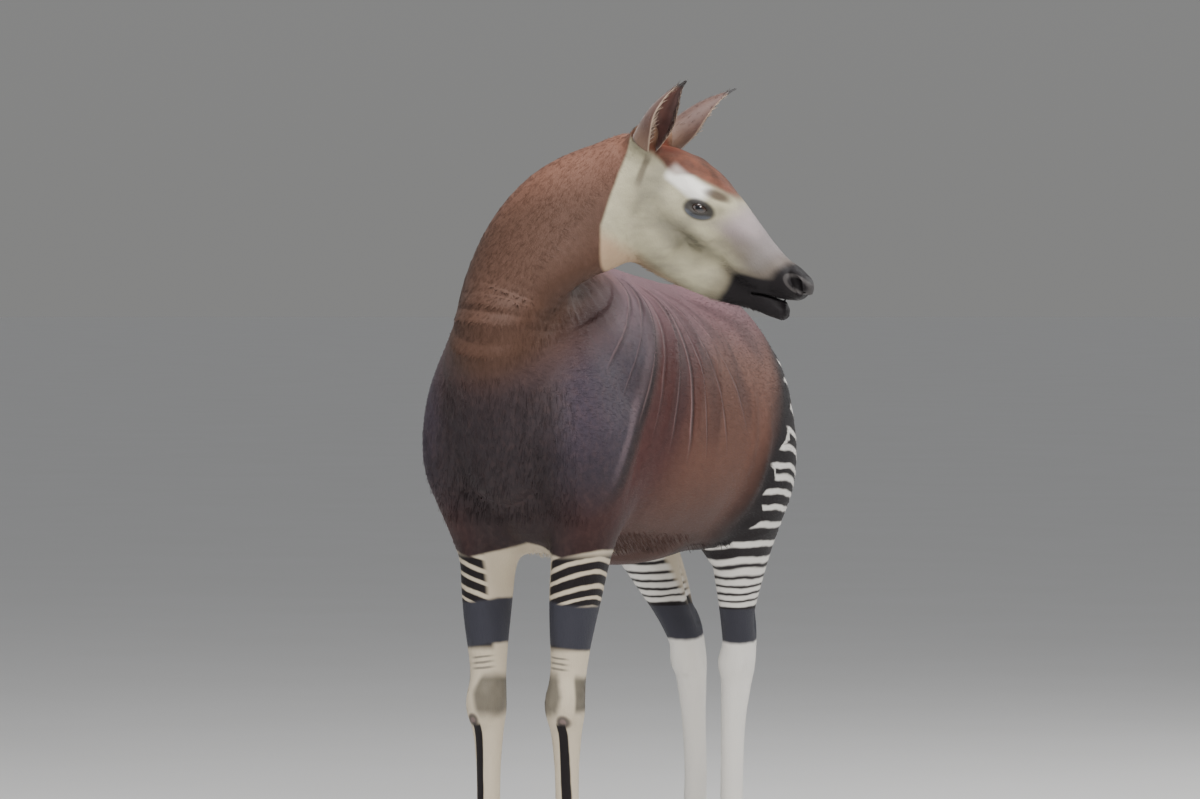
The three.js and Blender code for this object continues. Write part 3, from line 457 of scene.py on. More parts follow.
def leg_flesh(side, line, shift):
    """A leg with its muscles, joints, dewclaws and heels."""
    stations = leg_stations(side, line, shift)

    def at(x, y, z):
        return side * (x + swing(z) * shift[0]), y + swing(z) * shift[1], z

    flesh = [(loft(stations, FORWARD, 2.1), 60)]
    if line is FORELEG:
        flesh += [
            (muscle(at(122, -300, 930), at(100, -350, 700), 26, 40, FORWARD), 40),
            (muscle(at(110, -450, 900), at(96, -420, 640), 26, 30, (1, 0, 0)), 40),
            (ellipsoid(at(89, -428, 528), (32, 20, 42)), 24),
            (ellipsoid(at(88, -362, 520), (20, 20, 30)), 26),
        ]
    else:
        flesh += [
            (muscle(at(108, 520, 850), at(86, 556, 618), 13, 20, FORWARD), 34),
            (muscle(at(86, 552, 668), at(82, 530, 540), 19, 24, FORWARD), 30),
            (muscle(at(140, 330, 980), at(118, 345, 800), 40, 50, FORWARD), 50),
            (ellipsoid(at(80, 474, 565), (30, 18, 36)), 24),
        ]
    x, y = stations[-1][:2]
    for toe in (-1, 1):
        flesh.append((ellipsoid((x + toe * CLAW_SPACING * 0.9, y - 8, 78), (20, 31, 22)), 12))
    flesh.append((muscle((x - 26, y + 30, 132), (x + 26, y + 30, 132), 13, 15, UP), 22))
    return flesh


def head_loft(rows, roundness):
    """A loft through stations in the head's frame."""
    stations = [(*at_head((ahead, 0, level)), *girth) for ahead, level, *girth in rows]
    return loft(stations, UP, roundness)


def head_muscle(start, end, thickness, breadth, way):
    """A muscle set out in the head's frame."""
    return muscle(at_head(start), at_head(end), thickness, breadth, in_head(way))


def head_flesh():
    """Skull, jaw, brows, cheeks, crown, the nostrils' wings and the roots of the ears."""
    flesh = [
        (head_loft(SKULL, 2.2), 46),
        (head_loft(JAW, 2.1), 34),
        (head_muscle((60, 0, 66), (190, 0, 70), 24, 52, (0, 1, 0)), 40),
    ]
    for side in SIDES.values():
        flesh += [
            (head_muscle((62, side * 50, -40), (190, side * 52, -104), 26, 56, UP), 34),
            (head_muscle((150, side * 70, 47), (232, side * 62, 44), 12, 17, (0, 1, 0)), 22),
            (head_muscle((120, side * 74, -6), (250, side * 62, -22), 13, 17, UP), 26),
            (ellipsoid(at_head((118, side * 34, 78)), (20, 17, 15), HEAD_AXES), 20),
            (head_muscle((404, side * 27, 12), (474, side * 25, -2), 20, 24, UP), 20),
            (head_muscle((300, side * 40, -18), (396, side * 36, -30), 14, 24, UP), 26),
        ]
    for side, tip, _ in EARS.values():
        root = at_head((EAR_ROOT[0], side * EAR_ROOT[1], EAR_ROOT[2]))
        inner = at_head((EAR_ROOT[0] - 12, side * (EAR_ROOT[1] - 34), EAR_ROOT[2] - 26))
        outer = root + unit(in_head(tip)) * (EAR_STUB + 34)
        flesh.append((muscle(inner, outer, STUB_RADIUS, STUB_RADIUS, HEAD_AHEAD), 26))
    return flesh


# Lids, nostrils and mouth as they are cut into the head
NOSTRIL = [((462, 34, 8), (23, 12, 11)), ((446, 40, 19), (15, 9, 7.5))]
MOUTH_LINE = [(500, -23), (470, -33), (440, -44), (412, -54), (388, -66)]
MOUTH_HALF_HEIGHT = 2.6
MOUTH_DEPTH = 8


def eye_frame(side):
    """An eye's centre, and the ways out of it, ahead of it and up from it."""
    centre = at_head((EYE_AT[0], side * EYE_AT[1], EYE_AT[2]))
    outward = unit(in_head((0.16, side, 0.08)))
    ahead = unit(HEAD_AHEAD - outward * (HEAD_AHEAD @ outward))
    up = np.cross(ahead, outward)
    return centre, outward, ahead, up * np.sign(up @ HEAD_UP)


def lids(side):
    """The ring of an eye's lids and the opening between them."""
    centre, outward, ahead, up = eye_frame(side)
    long, tall = EYE_OPENING

    def ring(p):
        offset = p - centre
        u = offset @ ahead
        v = offset @ up - LID_SLANT * u
        level = np.maximum(0.05, np.hypot(u / long, v / tall))
        beside = np.hypot(u, v) * (1 - 1 / level)
        rim = np.sqrt(np.maximum(9, EYE_RADIUS ** 2 - (u * u + v * v) / level ** 2))
        return np.hypot(beside, offset @ outward - rim) - LID_RADIUS

    opening = ellipsoid(centre + outward * EYE_RADIUS * 0.8, (long, tall, EYE_RADIUS), (ahead, up, outward))
    return ring, opening


def nostril_frame(side):
    """A nostril's axes: along its slant, out of it and across it."""
    outward = unit(in_head((0.45, side, 0.12)))
    slant = in_head((-0.8, 0, 0.6))
    along = unit(slant - outward * (slant @ outward))
    return np.array([along, outward, np.cross(along, outward)])


def dressed_skin():
    """The whole skin, less the eye sockets, nostrils and mouth line, with its lids."""
    flesh = trunk_flesh()
    tail_stations = [(0, y, z, w, d, d) for y, z, w, d in TAIL]
    flesh.append((loft(tail_stations, (0, 1, 0.4), 2), 26))
    for stance in STANCE.values():
        flesh += leg_flesh(*stance)
    flesh.append((loft(NECK, NAPE, 2.1), 110))
    flesh += head_flesh()
    body = skin_of(flesh)
    lid_pairs = [lids(side) for side in SIDES.values()]
    nostrils = [
        ellipsoid(at_head((at[0], side * at[1], at[2])), radii, nostril_frame(side))
        for side in SIDES.values() for at, radii in NOSTRIL
    ]
    mouth = curve(MOUTH_LINE, 24)[::-1]

    def distance(p):
        value = body(p) + COAT_DEPTH
        local = from_head(p)
        at_face = np.flatnonzero((local[:, 0] > 130) & np.all(np.abs(local[:, 1:]) < (130, 140), axis=1))
        if not len(at_face):
            return value
        q = p[at_face]
        flesh_value = value[at_face]
        face = flesh_value
        for ring, opening in lid_pairs:
            face = -melt(-face, opening(q), 5)
            face = melt(face, ring(q), 7)
        for nostril in nostrils:
            face = -melt(-face, nostril(q), 4)
        ahead, _, up = local[at_face].T
        level = np.interp(ahead, mouth[:, 0], mouth[:, 1])
        beyond = np.maximum(mouth[0, 0] - ahead, 0)
        slot = np.maximum(np.hypot(up - level, beyond) - MOUTH_HALF_HEIGHT, -MOUTH_DEPTH - flesh_value)
        face = -melt(-face, slot, 3)
        value[at_face] = face
        return value

    return distance


# Meshing: a vertex in each grid cell that the surface crosses. The grid is stretched about the head,
# so that its cells are fine there and grow towards the feet with no seam between.
FINE_AT = at_head((230, 0, 0))
FINE_RADIUS = 300.0
FINE = 0.40
COARSE = 1.12
EASE = 260.0
CELL = 8.4
# The crease between throat and shoulder, where the distances jump and more cells are kept
CREASE_AT = (150, -365, 1385)
CREASE_REACH = 120
CREASE_ROOM = 16


def warp(points):
    """From grid places to places in the body's frame."""
    offset = points - FINE_AT
    radius = np.linalg.norm(offset, axis=1)
    knee = FINE_RADIUS / FINE
    rise = (COARSE - FINE) * EASE * np.logaddexp(0, (radius - knee) / EASE)
    base = (COARSE - FINE) * EASE * np.logaddexp(0, -knee / EASE)
    scale = (FINE * radius + rise - base) / np.maximum(radius, 1e-6)
    return FINE_AT + offset * scale[:, None]


def stretch(points, size):
    """The largest size that a cell has at grid places."""
    radius = np.linalg.norm(points - FINE_AT, axis=1) + CELL * size
    return FINE + (COARSE - FINE) / (1 + np.exp(-(radius - FINE_RADIUS / FINE) / EASE))


def surface(distance):
    """Vertices and quads of the zero surface of a distance function."""
    reach = 2600
    size = 32
    span = int(2 * reach / (CELL * size)) + 1
    base = FINE_AT - CELL * size * span / 2
    steps = np.arange(span)
    cells = np.stack(np.meshgrid(steps, steps, steps, indexing="ij"), -1).reshape(-1, 3) * size
    while True:
        middle = base + (cells + size / 2) * CELL
        places = warp(middle)
        room = 0.95 * CELL * size * stretch(middle, size) + 1.5
        room[np.linalg.norm(places - CREASE_AT, axis=1) < CREASE_REACH + CELL * size] += CREASE_ROOM
        keep = np.abs(distance(places)) < room
        cells = cells[keep]
        if size == 1:
            break
        size //= 2
        corners = np.stack(np.meshgrid([0, 1], [0, 1], [0, 1], indexing="ij"), -1).reshape(-1, 3) * size
        cells = (cells[:, None] + corners[None]).reshape(-1, 3)
    width = int(cells.max()) + 4

    def key(c):
        return (c[:, 0] * width + c[:, 1]) * width + c[:, 2]

    offsets = np.array([(i, j, k) for k in (0, 1) for j in (0, 1) for i in (0, 1)])
    strides = key(offsets)
    cell_keys = np.sort(key(cells))
    corner_keys = np.unique((cell_keys[:, None] + strides[None]).ravel())
    grid = np.stack([corner_keys // (width * width), corner_keys // width % width, corner_keys % width], 1)
    values = distance(warp(base + grid * CELL))
    values[values == 0] = 1e-6
    inside = values < 0
    lookup = np.searchsorted(corner_keys, cell_keys[:, None] + strides[None])
    crossed = inside[lookup].any(1) & ~inside[lookup].all(1)
    active = cell_keys[crossed]
    lookup = lookup[crossed]
    places = grid[lookup].astype(float)
    corner_values = values[lookup]
    total = np.zeros((len(active), 3))
    number = np.zeros(len(active))
    for i in range(8):
        for j in range(i + 1, 8):
            if np.abs(offsets[i] - offsets[j]).sum() != 1:
                continue
            va = corner_values[:, i]
            vb = corner_values[:, j]
            cut = (va < 0) != (vb < 0)
            t = np.where(cut, va / np.where(cut, va - vb, 1), 0)
            spot = places[:, i] + t[:, None] * (places[:, j] - places[:, i])
            total[cut] += spot[cut]
            number[cut] += 1
    vertices = warp(base + total / number[:, None] * CELL)
    quads = []
    for axis in range(3):
        step = strides[[1, 2, 4][axis]]
        side = [strides[[2, 4, 1][axis]], strides[[4, 1, 2][axis]]]
        place = np.searchsorted(corner_keys, corner_keys + step)
        place = np.minimum(place, len(corner_keys) - 1)
        found = (corner_keys[place] == corner_keys + step) & (inside != inside[place])
        here = corner_keys[found]
        ring = np.stack([here - side[0] - side[1], here - side[1], here, here - side[0]], 1)
        spot = np.minimum(np.searchsorted(active, ring), len(active) - 1)
        whole = (active[spot] == ring).all(1)
        spot = spot[whole]
        outward = inside[found][whole]
        quads.append(np.where(outward[:, None], spot, spot[:, ::-1]))
    return vertices, np.vstack(quads)


def settle(distance, points, step=0.6):
    """Draws points onto the surface, and gives the way out of it at each."""
    here = distance(points)
    way = np.stack([distance(points + step * axis) - here for axis in np.eye(3)], 1) / step
    length = np.maximum((way ** 2).sum(1), 0.2)
    moved = points - way * np.clip(here / length, -6, 6)[:, None]
    nearer = np.abs(distance(moved)) < np.abs(here)
    return np.where(nearer[:, None], moved, points), unit(way)


# Mesh helpers
def mesh_object(name, vertices, faces, material, smooth=True):
    """An object in the scene with a mesh of these points and faces."""
    mesh = bpy.data.meshes.new(name)
    vertices = np.asarray(vertices, dtype=np.float32)
    sizes = np.array([len(face) for face in faces], dtype=np.int32)
    corners = faces.ravel() if isinstance(faces, np.ndarray) else np.concatenate(faces)
    mesh.vertices.add(len(vertices))
    mesh.vertices.foreach_set("co", vertices.ravel())
    mesh.loops.add(int(sizes.sum()))
    mesh.loops.foreach_set("vertex_index", corners.astype(np.int32))
    mesh.polygons.add(len(sizes))
    mesh.polygons.foreach_set("loop_start", (np.cumsum(sizes) - sizes).astype(np.int32))
    mesh.polygons.foreach_set("loop_total", sizes)
    mesh.update(calc_edges=True)
    if smooth:
        mesh.polygons.foreach_set("use_smooth", np.ones(len(mesh.polygons), dtype=bool))
    mesh.update()
    obj = bpy.data.objects.new(name, mesh)
    bpy.context.scene.collection.objects.link(obj)
    mesh.materials.append(material)
    return obj


def ring_faces(count, spokes):
    """The quads between rings of points, each ring joined to the next."""
    return [(i * spokes + j, i * spokes + (j + 1) % spokes, (i + 1) * spokes + (j + 1) % spokes,
             (i + 1) * spokes + j) for i in range(count - 1) for j in range(spokes)]


def tidy_shell(obj, merged=True):
    """Turns the faces outwards, with doubled points merged."""
    shell = bmesh.new()
    shell.from_mesh(obj.data)
    if merged:
        bmesh.ops.remove_doubles(shell, verts=shell.verts, dist=1e-6)
    bmesh.ops.recalc_face_normals(shell, faces=shell.faces)
    shell.to_mesh(obj.data)
    shell.free()


def finish_mesh(obj):
    """Makes what an object's modifiers give its plain mesh."""
    graph = bpy.context.evaluated_depsgraph_get()
    mesh = bpy.data.meshes.new_from_object(obj.evaluated_get(graph), depsgraph=graph)
    obj.modifiers.clear()
    old = obj.data
    obj.data = mesh
    bpy.data.meshes.remove(old)


def pulled(items, label, width=1, kind=np.float32):
    """One property of all the items of a mesh, as a table."""
    flat = np.empty(len(items) * width, dtype=kind)
    items.foreach_get(label, flat)
    return flat if width == 1 else flat.reshape(-1, width)


def arrays(mesh):
    """A mesh's vertices and triangles as tables."""
    mesh.calc_loop_triangles()
    return pulled(mesh.vertices, "co", 3).astype(float), pulled(mesh.loop_triangles, "vertices", 3, np.int32)


# Shader maths as plain expressions
class Value:
    """A number that varies over the surface."""

    def __init__(self, paint, socket):
        self.paint = paint
        self.socket = socket

    def math(self, operation, *others):
        return self.paint.node("ShaderNodeMath", {"operation": operation}, {
            i: v for i, v in enumerate((self, *others))})

    def __add__(self, other):
        return self.math("ADD", other)

    def __sub__(self, other):
        return self.math("SUBTRACT", other)

    def __mul__(self, other):
        return self.math("MULTIPLY", other)

    def __truediv__(self, other):
        return self.math("DIVIDE", other)

    def __radd__(self, other):
        return self.math("ADD", other)

    def __rmul__(self, other):
        return self.math("MULTIPLY", other)

    def __rsub__(self, other):
        return self.paint.node("ShaderNodeMath", {"operation": "SUBTRACT"}, {0: other, 1: self})

    def least(self, other):
        return self.math("MINIMUM", other)

    def most(self, other):
        return self.math("MAXIMUM", other)

    def size(self):
        return self.math("ABSOLUTE")

    def square(self):
        return self * self

    def under(self, share, color):
        """This colour with a share of another laid over it."""
        return self.paint.mix(share, self, color)

    def wave(self):
        return (self * (2 * math.pi)).math("SINE")

    def rise(self, low, high):
        """Nought below low, one above high, and smooth between."""
        return self.paint.node("ShaderNodeMapRange", {"interpolation_type": "SMOOTHSTEP"}, {
            "Value": self, "From Min": low, "From Max": high})

    def fall(self, low, high):
        return 1.0 - self.rise(low, high)

    def between(self, low, high, soft):
        return self.rise(low - soft, low + soft) * self.fall(high - soft, high + soft)


class Nodes:
    """A node tree whose nodes all come from one method."""

    def __init__(self, tree):
        self.tree = tree

    def node(self, kind, settings, inputs, output=0):
        """One output of a new node, with its settings made before its sockets are set or linked."""
        node = self.tree.nodes.new(kind)
        for name, value in settings.items():
            if name == "stops":
                for element, (at, color) in zip(node.color_ramp.elements, value):
                    element.position = at
                    element.color = (*color, 1)
            else:
                setattr(node, name, value)
        for name, value in inputs.items():
            if isinstance(value, Value):
                self.tree.links.new(value.socket, node.inputs[name])
            else:
                node.inputs[name].default_value = value
        return Value(self, node.outputs[output])


class Paint(Nodes):
    """The node tree of one material."""

    def __init__(self, name, roughness=0.6, **constants):
        self.material = bpy.data.materials.new(name)
        self.material.use_nodes = True
        super().__init__(self.material.node_tree)
        self.shader = self.tree.nodes["Principled BSDF"]
        self.shader.inputs["Roughness"].default_value = roughness
        for socket, value in constants.items():
            self.shader.inputs[socket.replace("_", " ")].default_value = value
        self.place = self.node("ShaderNodeTexCoord", {}, {}, "Object")

    def along(self, direction, start=(0, 0, 0)):
        """How far a point lies from start along a direction, in metres."""
        offset = self.node("ShaderNodeVectorMath", {"operation": "SUBTRACT"}, {
            0: self.place, 1: tuple(to_part(start))})
        return self.node("ShaderNodeVectorMath", {"operation": "DOT_PRODUCT"}, {
            0: offset, 1: tuple(direction)}, "Value")

    def noise(self, scale, detail=2.0, stretch=(1, 1, 1), roughness=0.5):
        place = self.node("ShaderNodeMapping", {}, {"Vector": self.place, "Scale": stretch})
        return self.node("ShaderNodeTexNoise", {}, {
            "Vector": place, "Scale": scale, "Detail": detail, "Roughness": roughness}, "Fac")

    def mix(self, share, first, second):
        """A colour between two, each a colour or the output of another mix."""
        first, second = (value if isinstance(value, Value) else (*value, 1) for value in (first, second))
        return self.node("ShaderNodeMix", {"data_type": "RGBA"}, {0: share, 6: first, 7: second}, 2)

    def set(self, socket, value):
        self.tree.links.new(value.socket, self.shader.inputs[socket])

    def bump(self, height, strength, distance):
        result = self.node("ShaderNodeBump", {}, {
            "Height": height, "Strength": strength, "Distance": distance}, "Normal")
        self.set("Normal", result)


# Colours of the coat, as they scatter light
CHESTNUT = (0.088, 0.034, 0.026)
FLANK_MAROON = (0.070, 0.026, 0.024)
FLANK_TAN = (0.150, 0.070, 0.048)
# Dark coat of the shoulder, with a painted bluish sheen of the sky in its colour
SHOULDER_SLATE_SHEEN = (0.056, 0.043, 0.058)
# Painted highlight on the ridge just ahead of the cleft behind the shoulder
CLEFT_HIGHLIGHT = (0.20, 0.14, 0.155)
# Painted mauve sheen of the light from above, laid along the top of the back
BACK_SHEEN_MAUVE = (0.240, 0.148, 0.168)
TAUPE = (0.080, 0.041, 0.028)
CHEST_DARK = (0.036, 0.027, 0.029)
NAPE_TAN = (0.185, 0.088, 0.060)
HAIR_LIGHT = (0.20, 0.11, 0.09)
HAIR_DARK = (0.018, 0.011, 0.011)
# Painted shade in the folds' soft hollows and beside them, and painted highlights on their ridges
FOLD_SOFT_SHADE = (0.036, 0.018, 0.019)
FOLD_SHADE = (0.022, 0.012, 0.013)
FOLD_HIGHLIGHT = (0.30, 0.19, 0.19)
NEAR_BLACK = (0.013, 0.010, 0.011)
BAND_SLATE = (0.040, 0.040, 0.052)
CREAM = (0.58, 0.50, 0.38)
WHITE = (0.78, 0.75, 0.70)
KNEE_LINE = (0.10, 0.095, 0.085)
KNEE_GREY = (0.050, 0.047, 0.038)
CALLUS_DARK = (0.055, 0.042, 0.045)
CALLUS_PINK = (0.24, 0.17, 0.16)
CHEEK = (0.41, 0.375, 0.26)
CHEEK_GREY = (0.20, 0.185, 0.135)
CHEEK_STROKES = (0.235, 0.215, 0.165)
THROAT = (0.42, 0.27, 0.17)
RUSSET = (0.150, 0.042, 0.022)
RUSSET_DARK = (0.052, 0.014, 0.009)
RUSSET_LIGHT = (0.170, 0.056, 0.035)
CROWN_DARK = (0.060, 0.018, 0.012)
BROW_SPOT = (0.040, 0.020, 0.014)
EYE_SHADE = (0.022, 0.020, 0.024)
LID_BLUE = (0.105, 0.115, 0.135)
LILAC = (0.33, 0.270, 0.285)
# Brown before the black muzzle, and also painted shade under the bridge of the nose and in front of the ear
# roots
SNOUT_BROWN_AND_SHADE = (0.095, 0.075, 0.055)
SNOUT_GREY = (0.15, 0.135, 0.13)
# Painted blue-grey sheen of the glossy nose skin, round the nostrils
NOSTRIL_SHEEN = (0.11, 0.10, 0.098)
TEETH = (0.42, 0.38, 0.30)
MUZZLE = (0.012, 0.010, 0.011)
EAR_BROWN = (0.115, 0.050, 0.032)
EAR_ROOT_TAN = (0.26, 0.17, 0.11)

# Colours of eyes, ears, horn and floor
IRIS_DARK = (0.020, 0.011, 0.008)
IRIS_LIGHT = (0.055, 0.032, 0.022)
PUPIL = (0.004, 0.004, 0.006)
EYE_RIM = (0.05, 0.035, 0.032)
EAR_LIGHT = (0.100, 0.046, 0.032)
EAR_DARK = (0.058, 0.024, 0.017)
EAR_BASE = (0.20, 0.122, 0.080)
CUP_DARK = (0.030, 0.012, 0.011)
CUP_LIGHT = (0.095, 0.036, 0.030)
CUP_RED = (0.150, 0.050, 0.034)
EAR_RIM = (0.42, 0.31, 0.23)
HORN_DARK = (0.028, 0.024, 0.023)
HORN_LIGHT = (0.085, 0.070, 0.058)
FLOOR_DARK = (0.78, 0.77, 0.75)
FLOOR_LIGHT = (0.82, 0.81, 0.80)

# White bars of the haunch and thigh: level on the body and half width, from the rump down
HAUNCH_BARS = [
    (1.314, 0.0045), (1.266, 0.0055), (1.232, 0.0060), (1.172, 0.0085), (1.112, 0.0065), (1.072, 0.0070),
    (1.030, 0.0065), (1.003, 0.0075), (0.968, 0.0070), (0.930, 0.0065), (0.889, 0.0075), (0.843, 0.0065),
    (0.806, 0.0075), (0.780, 0.0085), (0.757, 0.0065), (0.738, 0.0060), (0.720, 0.0055), (0.703, 0.0060),
]
# White bars outside each foreleg, and the thin dark lines on the cream ring below them
FORELEG_BARS = [
    (0.853, 0.0060), (0.824, 0.0050), (0.797, 0.0045), (0.768, 0.0050), (0.744, 0.0035), (0.723, 0.0050),
    (0.705, 0.0025),
]
KNEE_LINES = [(0.630, 0.0022), (0.618, 0.0026), (0.606, 0.0026)]

# Folds that fan out behind the shoulder from FAN_AT: angle, half width and strength
FAN_AT = (-0.02, 1.55)
FAN_FOLDS = [
    (-54, 0.005, 0.7), (-45, 0.004, 0.5), (-35, 0.006, 1.0), (-27, 0.004, 0.45), (-18, 0.005, 0.6),
    (-9, 0.006, 0.95), (0, 0.004, 0.5), (12, 0.005, 0.5), (26, 0.005, 0.35),
]

# Places on the head that the markings are set out from: ahead and up, in metres
EYE_MARK = (0.199, 0.022)
SPOT_MARK = (0.212, 0.067)
NOSTRIL_MARK = (0.462, 0.010)
TEETH_MARK = (0.488, -0.036)
CALLUS_MARK = (0.014, 0.493)


def bars(level, rows, soft=0.45):
    """One on any of a list of bars, each at its own level with its own half width."""
    total = 0.0
    for middle, half in rows:
        bar = (level - middle).size().fall(half * (1 - soft), half * (1 + soft))
        total = bar if total == 0.0 else total.most(bar)
    return total


class Spot:
    """Where a point lies on body and head, with the noises that all the markings share."""

    def __init__(self, paint):
        self.x = paint.along((1, 0, 0))
        self.y = paint.along((0, 1, 0))
        self.z = paint.along((0, 0, 1))
        self.ahead = paint.along(HEAD_AHEAD, HEAD_AT)
        self.left = paint.along(HEAD_LEFT, HEAD_AT)
        self.up = paint.along(HEAD_UP, HEAD_AT)
        self.broad = paint.noise(3.2, 2.0)
        self.patchy = paint.noise(9.0, 3.0)
        self.fine = paint.noise(60.0, 3.0, (1.6, 1.0, 1.0))
        self.streaks = paint.noise(30.0, 3.0, (0.5, 1.0, 1.0), 0.6)
        self.brushed = paint.noise(16.0, 4.0, (0.45, 1.0, 1.0), 0.62)
        self.ripple = self.broad - 0.5
        self.wobble = self.patchy - 0.5
        self.side = self.x.size()
        self.is_right = self.x.fall(-0.002, 0.002)
        self.is_hind = self.y.rise(0.05, 0.10)

    def on_leg(self, middle_y, stance):
        """How far out from a leg's own centre line, and how far ahead of it."""
        shift = STANCE[stance][2]
        drop = (LEG_SWING_TOP - CANNON_LEVEL) * MM
        swung = (LEG_SWING_TOP * MM - self.z).least(drop).most(0.0) / drop * self.is_right
        return self.side - swung * (shift[0] * MM), middle_y - self.y + swung * (shift[1] * MM)

    def off_mark(self, mark, across, tall):
        """The squared distance from a mark on the head, stretched by the two factors."""
        return (self.ahead - mark[0]).square() * across + (self.up - mark[1]).square() * tall


def trunk_color(paint, s):
    """Slate with a painted bluish sky sheen on the shoulder, chestnut on the flank, a painted mauve sheen
    along the back, painted shade and a painted highlight at the cleft behind the shoulder, dark below, taupe
    neck.
    """
    y, z, ripple = s.y, s.z, s.ripple
    behind_cleft = y + 0.266 - (z - 1.2) * 0.73 + ripple * 0.05
    shoulder = behind_cleft.fall(-0.03, 0.04) * z.rise(0.90, 1.05)
    flank = paint.mix(behind_cleft.rise(0.14, 0.34) * z.fall(1.22, 1.40) * 0.8, FLANK_MAROON, FLANK_TAN)
    # Painted bluish sky sheen on the dark shoulder
    trunk = flank.under((shoulder + s.wobble * 0.25).between(0.0, 2.0, 0.2) * shoulder, SHOULDER_SLATE_SHEEN)
    # Painted mauve sheen from above along the top of the back and the upper sides
    trunk = trunk.under((z + s.side * 0.25 + ripple * 0.10).rise(1.30, 1.50) * 0.75, BACK_SHEEN_MAUVE)
    belly = (z + ripple * 0.06 - shoulder * 0.10).fall(0.84, 1.06)
    trunk = trunk.under(belly * 0.6, NEAR_BLACK)
    # Painted shade in near-black in the cleft behind the shoulder, and a painted highlight on the ridge ahead
    # of it
    cleft = (behind_cleft - 0.012).size().fall(0.006, 0.045) * z.between(0.98, 1.30, 0.07)
    cleft_highlight_ridge = (behind_cleft + 0.030).size().fall(0.004, 0.026) * z.between(1.04, 1.34, 0.06)
    trunk = trunk.under(cleft * 0.70, NEAR_BLACK).under(cleft_highlight_ridge * 0.45, CLEFT_HIGHLIGHT)

    neck = (z - y * 0.55 + ripple * 0.08).rise(1.50, 1.66)
    nape = (z - s.x * 0.35 + y * 0.75 + ripple * 0.06).rise(1.13, 1.33)
    trunk = trunk.under(neck, paint.mix(nape * 0.85, TAUPE, NAPE_TAN))
    chest = (s.side * 0.9 + y * 0.44 + 0.11 + ripple * 0.10).fall(-0.05, 0.05) * y.fall(-0.26, -0.16)
    chest_low = (z + ripple * 0.10).fall(1.12, 1.42)
    trunk = trunk.under(chest * (1.0 - neck) * 0.85, paint.mix(chest_low, TAUPE, CHEST_DARK))
    trunk = trunk.under((s.fine - 0.45).most(0.0) * 0.35, HAIR_LIGHT)
    return trunk.under((0.45 - s.fine).most(0.0) * 0.5, HAIR_DARK)


def fan_folds(s):
    """Folds of the loose skin that fan out from the withers: soft hollows and shades, where shade is painted,
    and lit ridges, where highlights are painted.
    """
    back = s.y - FAN_AT[0]
    down = FAN_AT[1] - s.z
    fan = (back + s.wobble * 0.012).math("ARCTAN2", down)
    reach = (back.square() + down.square()).math("SQRT")
    spread = reach.between(0.12, 0.46, 0.06) * s.side.rise(0.06, 0.12)
    ridge = 0.0
    shade = 0.0
    for angle, width, strength in FAN_FOLDS:
        away = (fan - math.radians(angle)) * reach
        lit = away.size().fall(0.0, width) * strength
        dim = (away - width * 1.3).size().fall(0.0, width * 1.6) * strength
        ridge = lit if ridge == 0.0 else ridge.most(lit)
        shade = dim if shade == 0.0 else shade.most(dim)
    fading = spread * (s.broad * 2.6 - 0.55).most(0.0).least(1.0)
    soft = (fan * 2.4 + s.broad * 1.8).wave().most(0.0) * spread
    return soft, shade * fading, ridge * fading


def paint_hindquarters(paint, s, body):
    """Near-black haunch and thigh with white bars that arch forwards, and the hind legs below."""
    y, z, ripple, wobble = s.y, s.z, s.ripple, s.wobble
    arch = (y - 0.35 + ripple * 0.10).square()
    level = z + arch * (z.rise(0.84, 1.0) * 1.25 - 0.25) + wobble * 0.024 + ripple * 0.020
    edge = y + ripple * 0.10 + wobble * 0.05 - (z - 0.9) * 0.60
    dark_above = edge.rise(0.14, 0.28) * (z + wobble * 0.05).fall(1.27, 1.38)
    tips = edge + (level / 0.093).wave() * 0.022 + wobble * 0.10
    white_bars = bars(level, HAUNCH_BARS) * tips.rise(0.292, 0.306)
    joined = level.between(1.072, 1.112, 0.004).most(level.between(1.003, 1.030, 0.004))
    joining = (tips - 0.300).size().fall(0.003, 0.008) * joined * 0.8
    body = body.under(dark_above.most(z.fall(0.80, 0.90) * s.is_hind), NEAR_BLACK)
    body = body.under(white_bars.most(joining) * s.is_hind, WHITE)

    out, fore = s.on_leg(0.44 + (0.76 - z) * 0.42, "hind_right")
    out = out - 0.108 - (z - 0.74) * 0.18
    inner = (out + fore * 0.28 + wobble * 0.02).fall(-0.052, -0.036) * z.fall(0.84, 0.93) * s.is_hind
    body = body.under(inner * (1.0 - (wobble * 2.0).rise(0.2, 0.6) * 0.2), CREAM)

    hock = (z + wobble * 0.03 - (y - 0.5) * 0.05).between(0.612, 0.80, 0.005)
    cannon = paint.mix((z + wobble * 0.03).fall(0.165, 0.185), WHITE, NEAR_BLACK)
    return body.under(z.fall(0.690, 0.694) * s.is_hind, cannon.under(hock, BAND_SLATE))


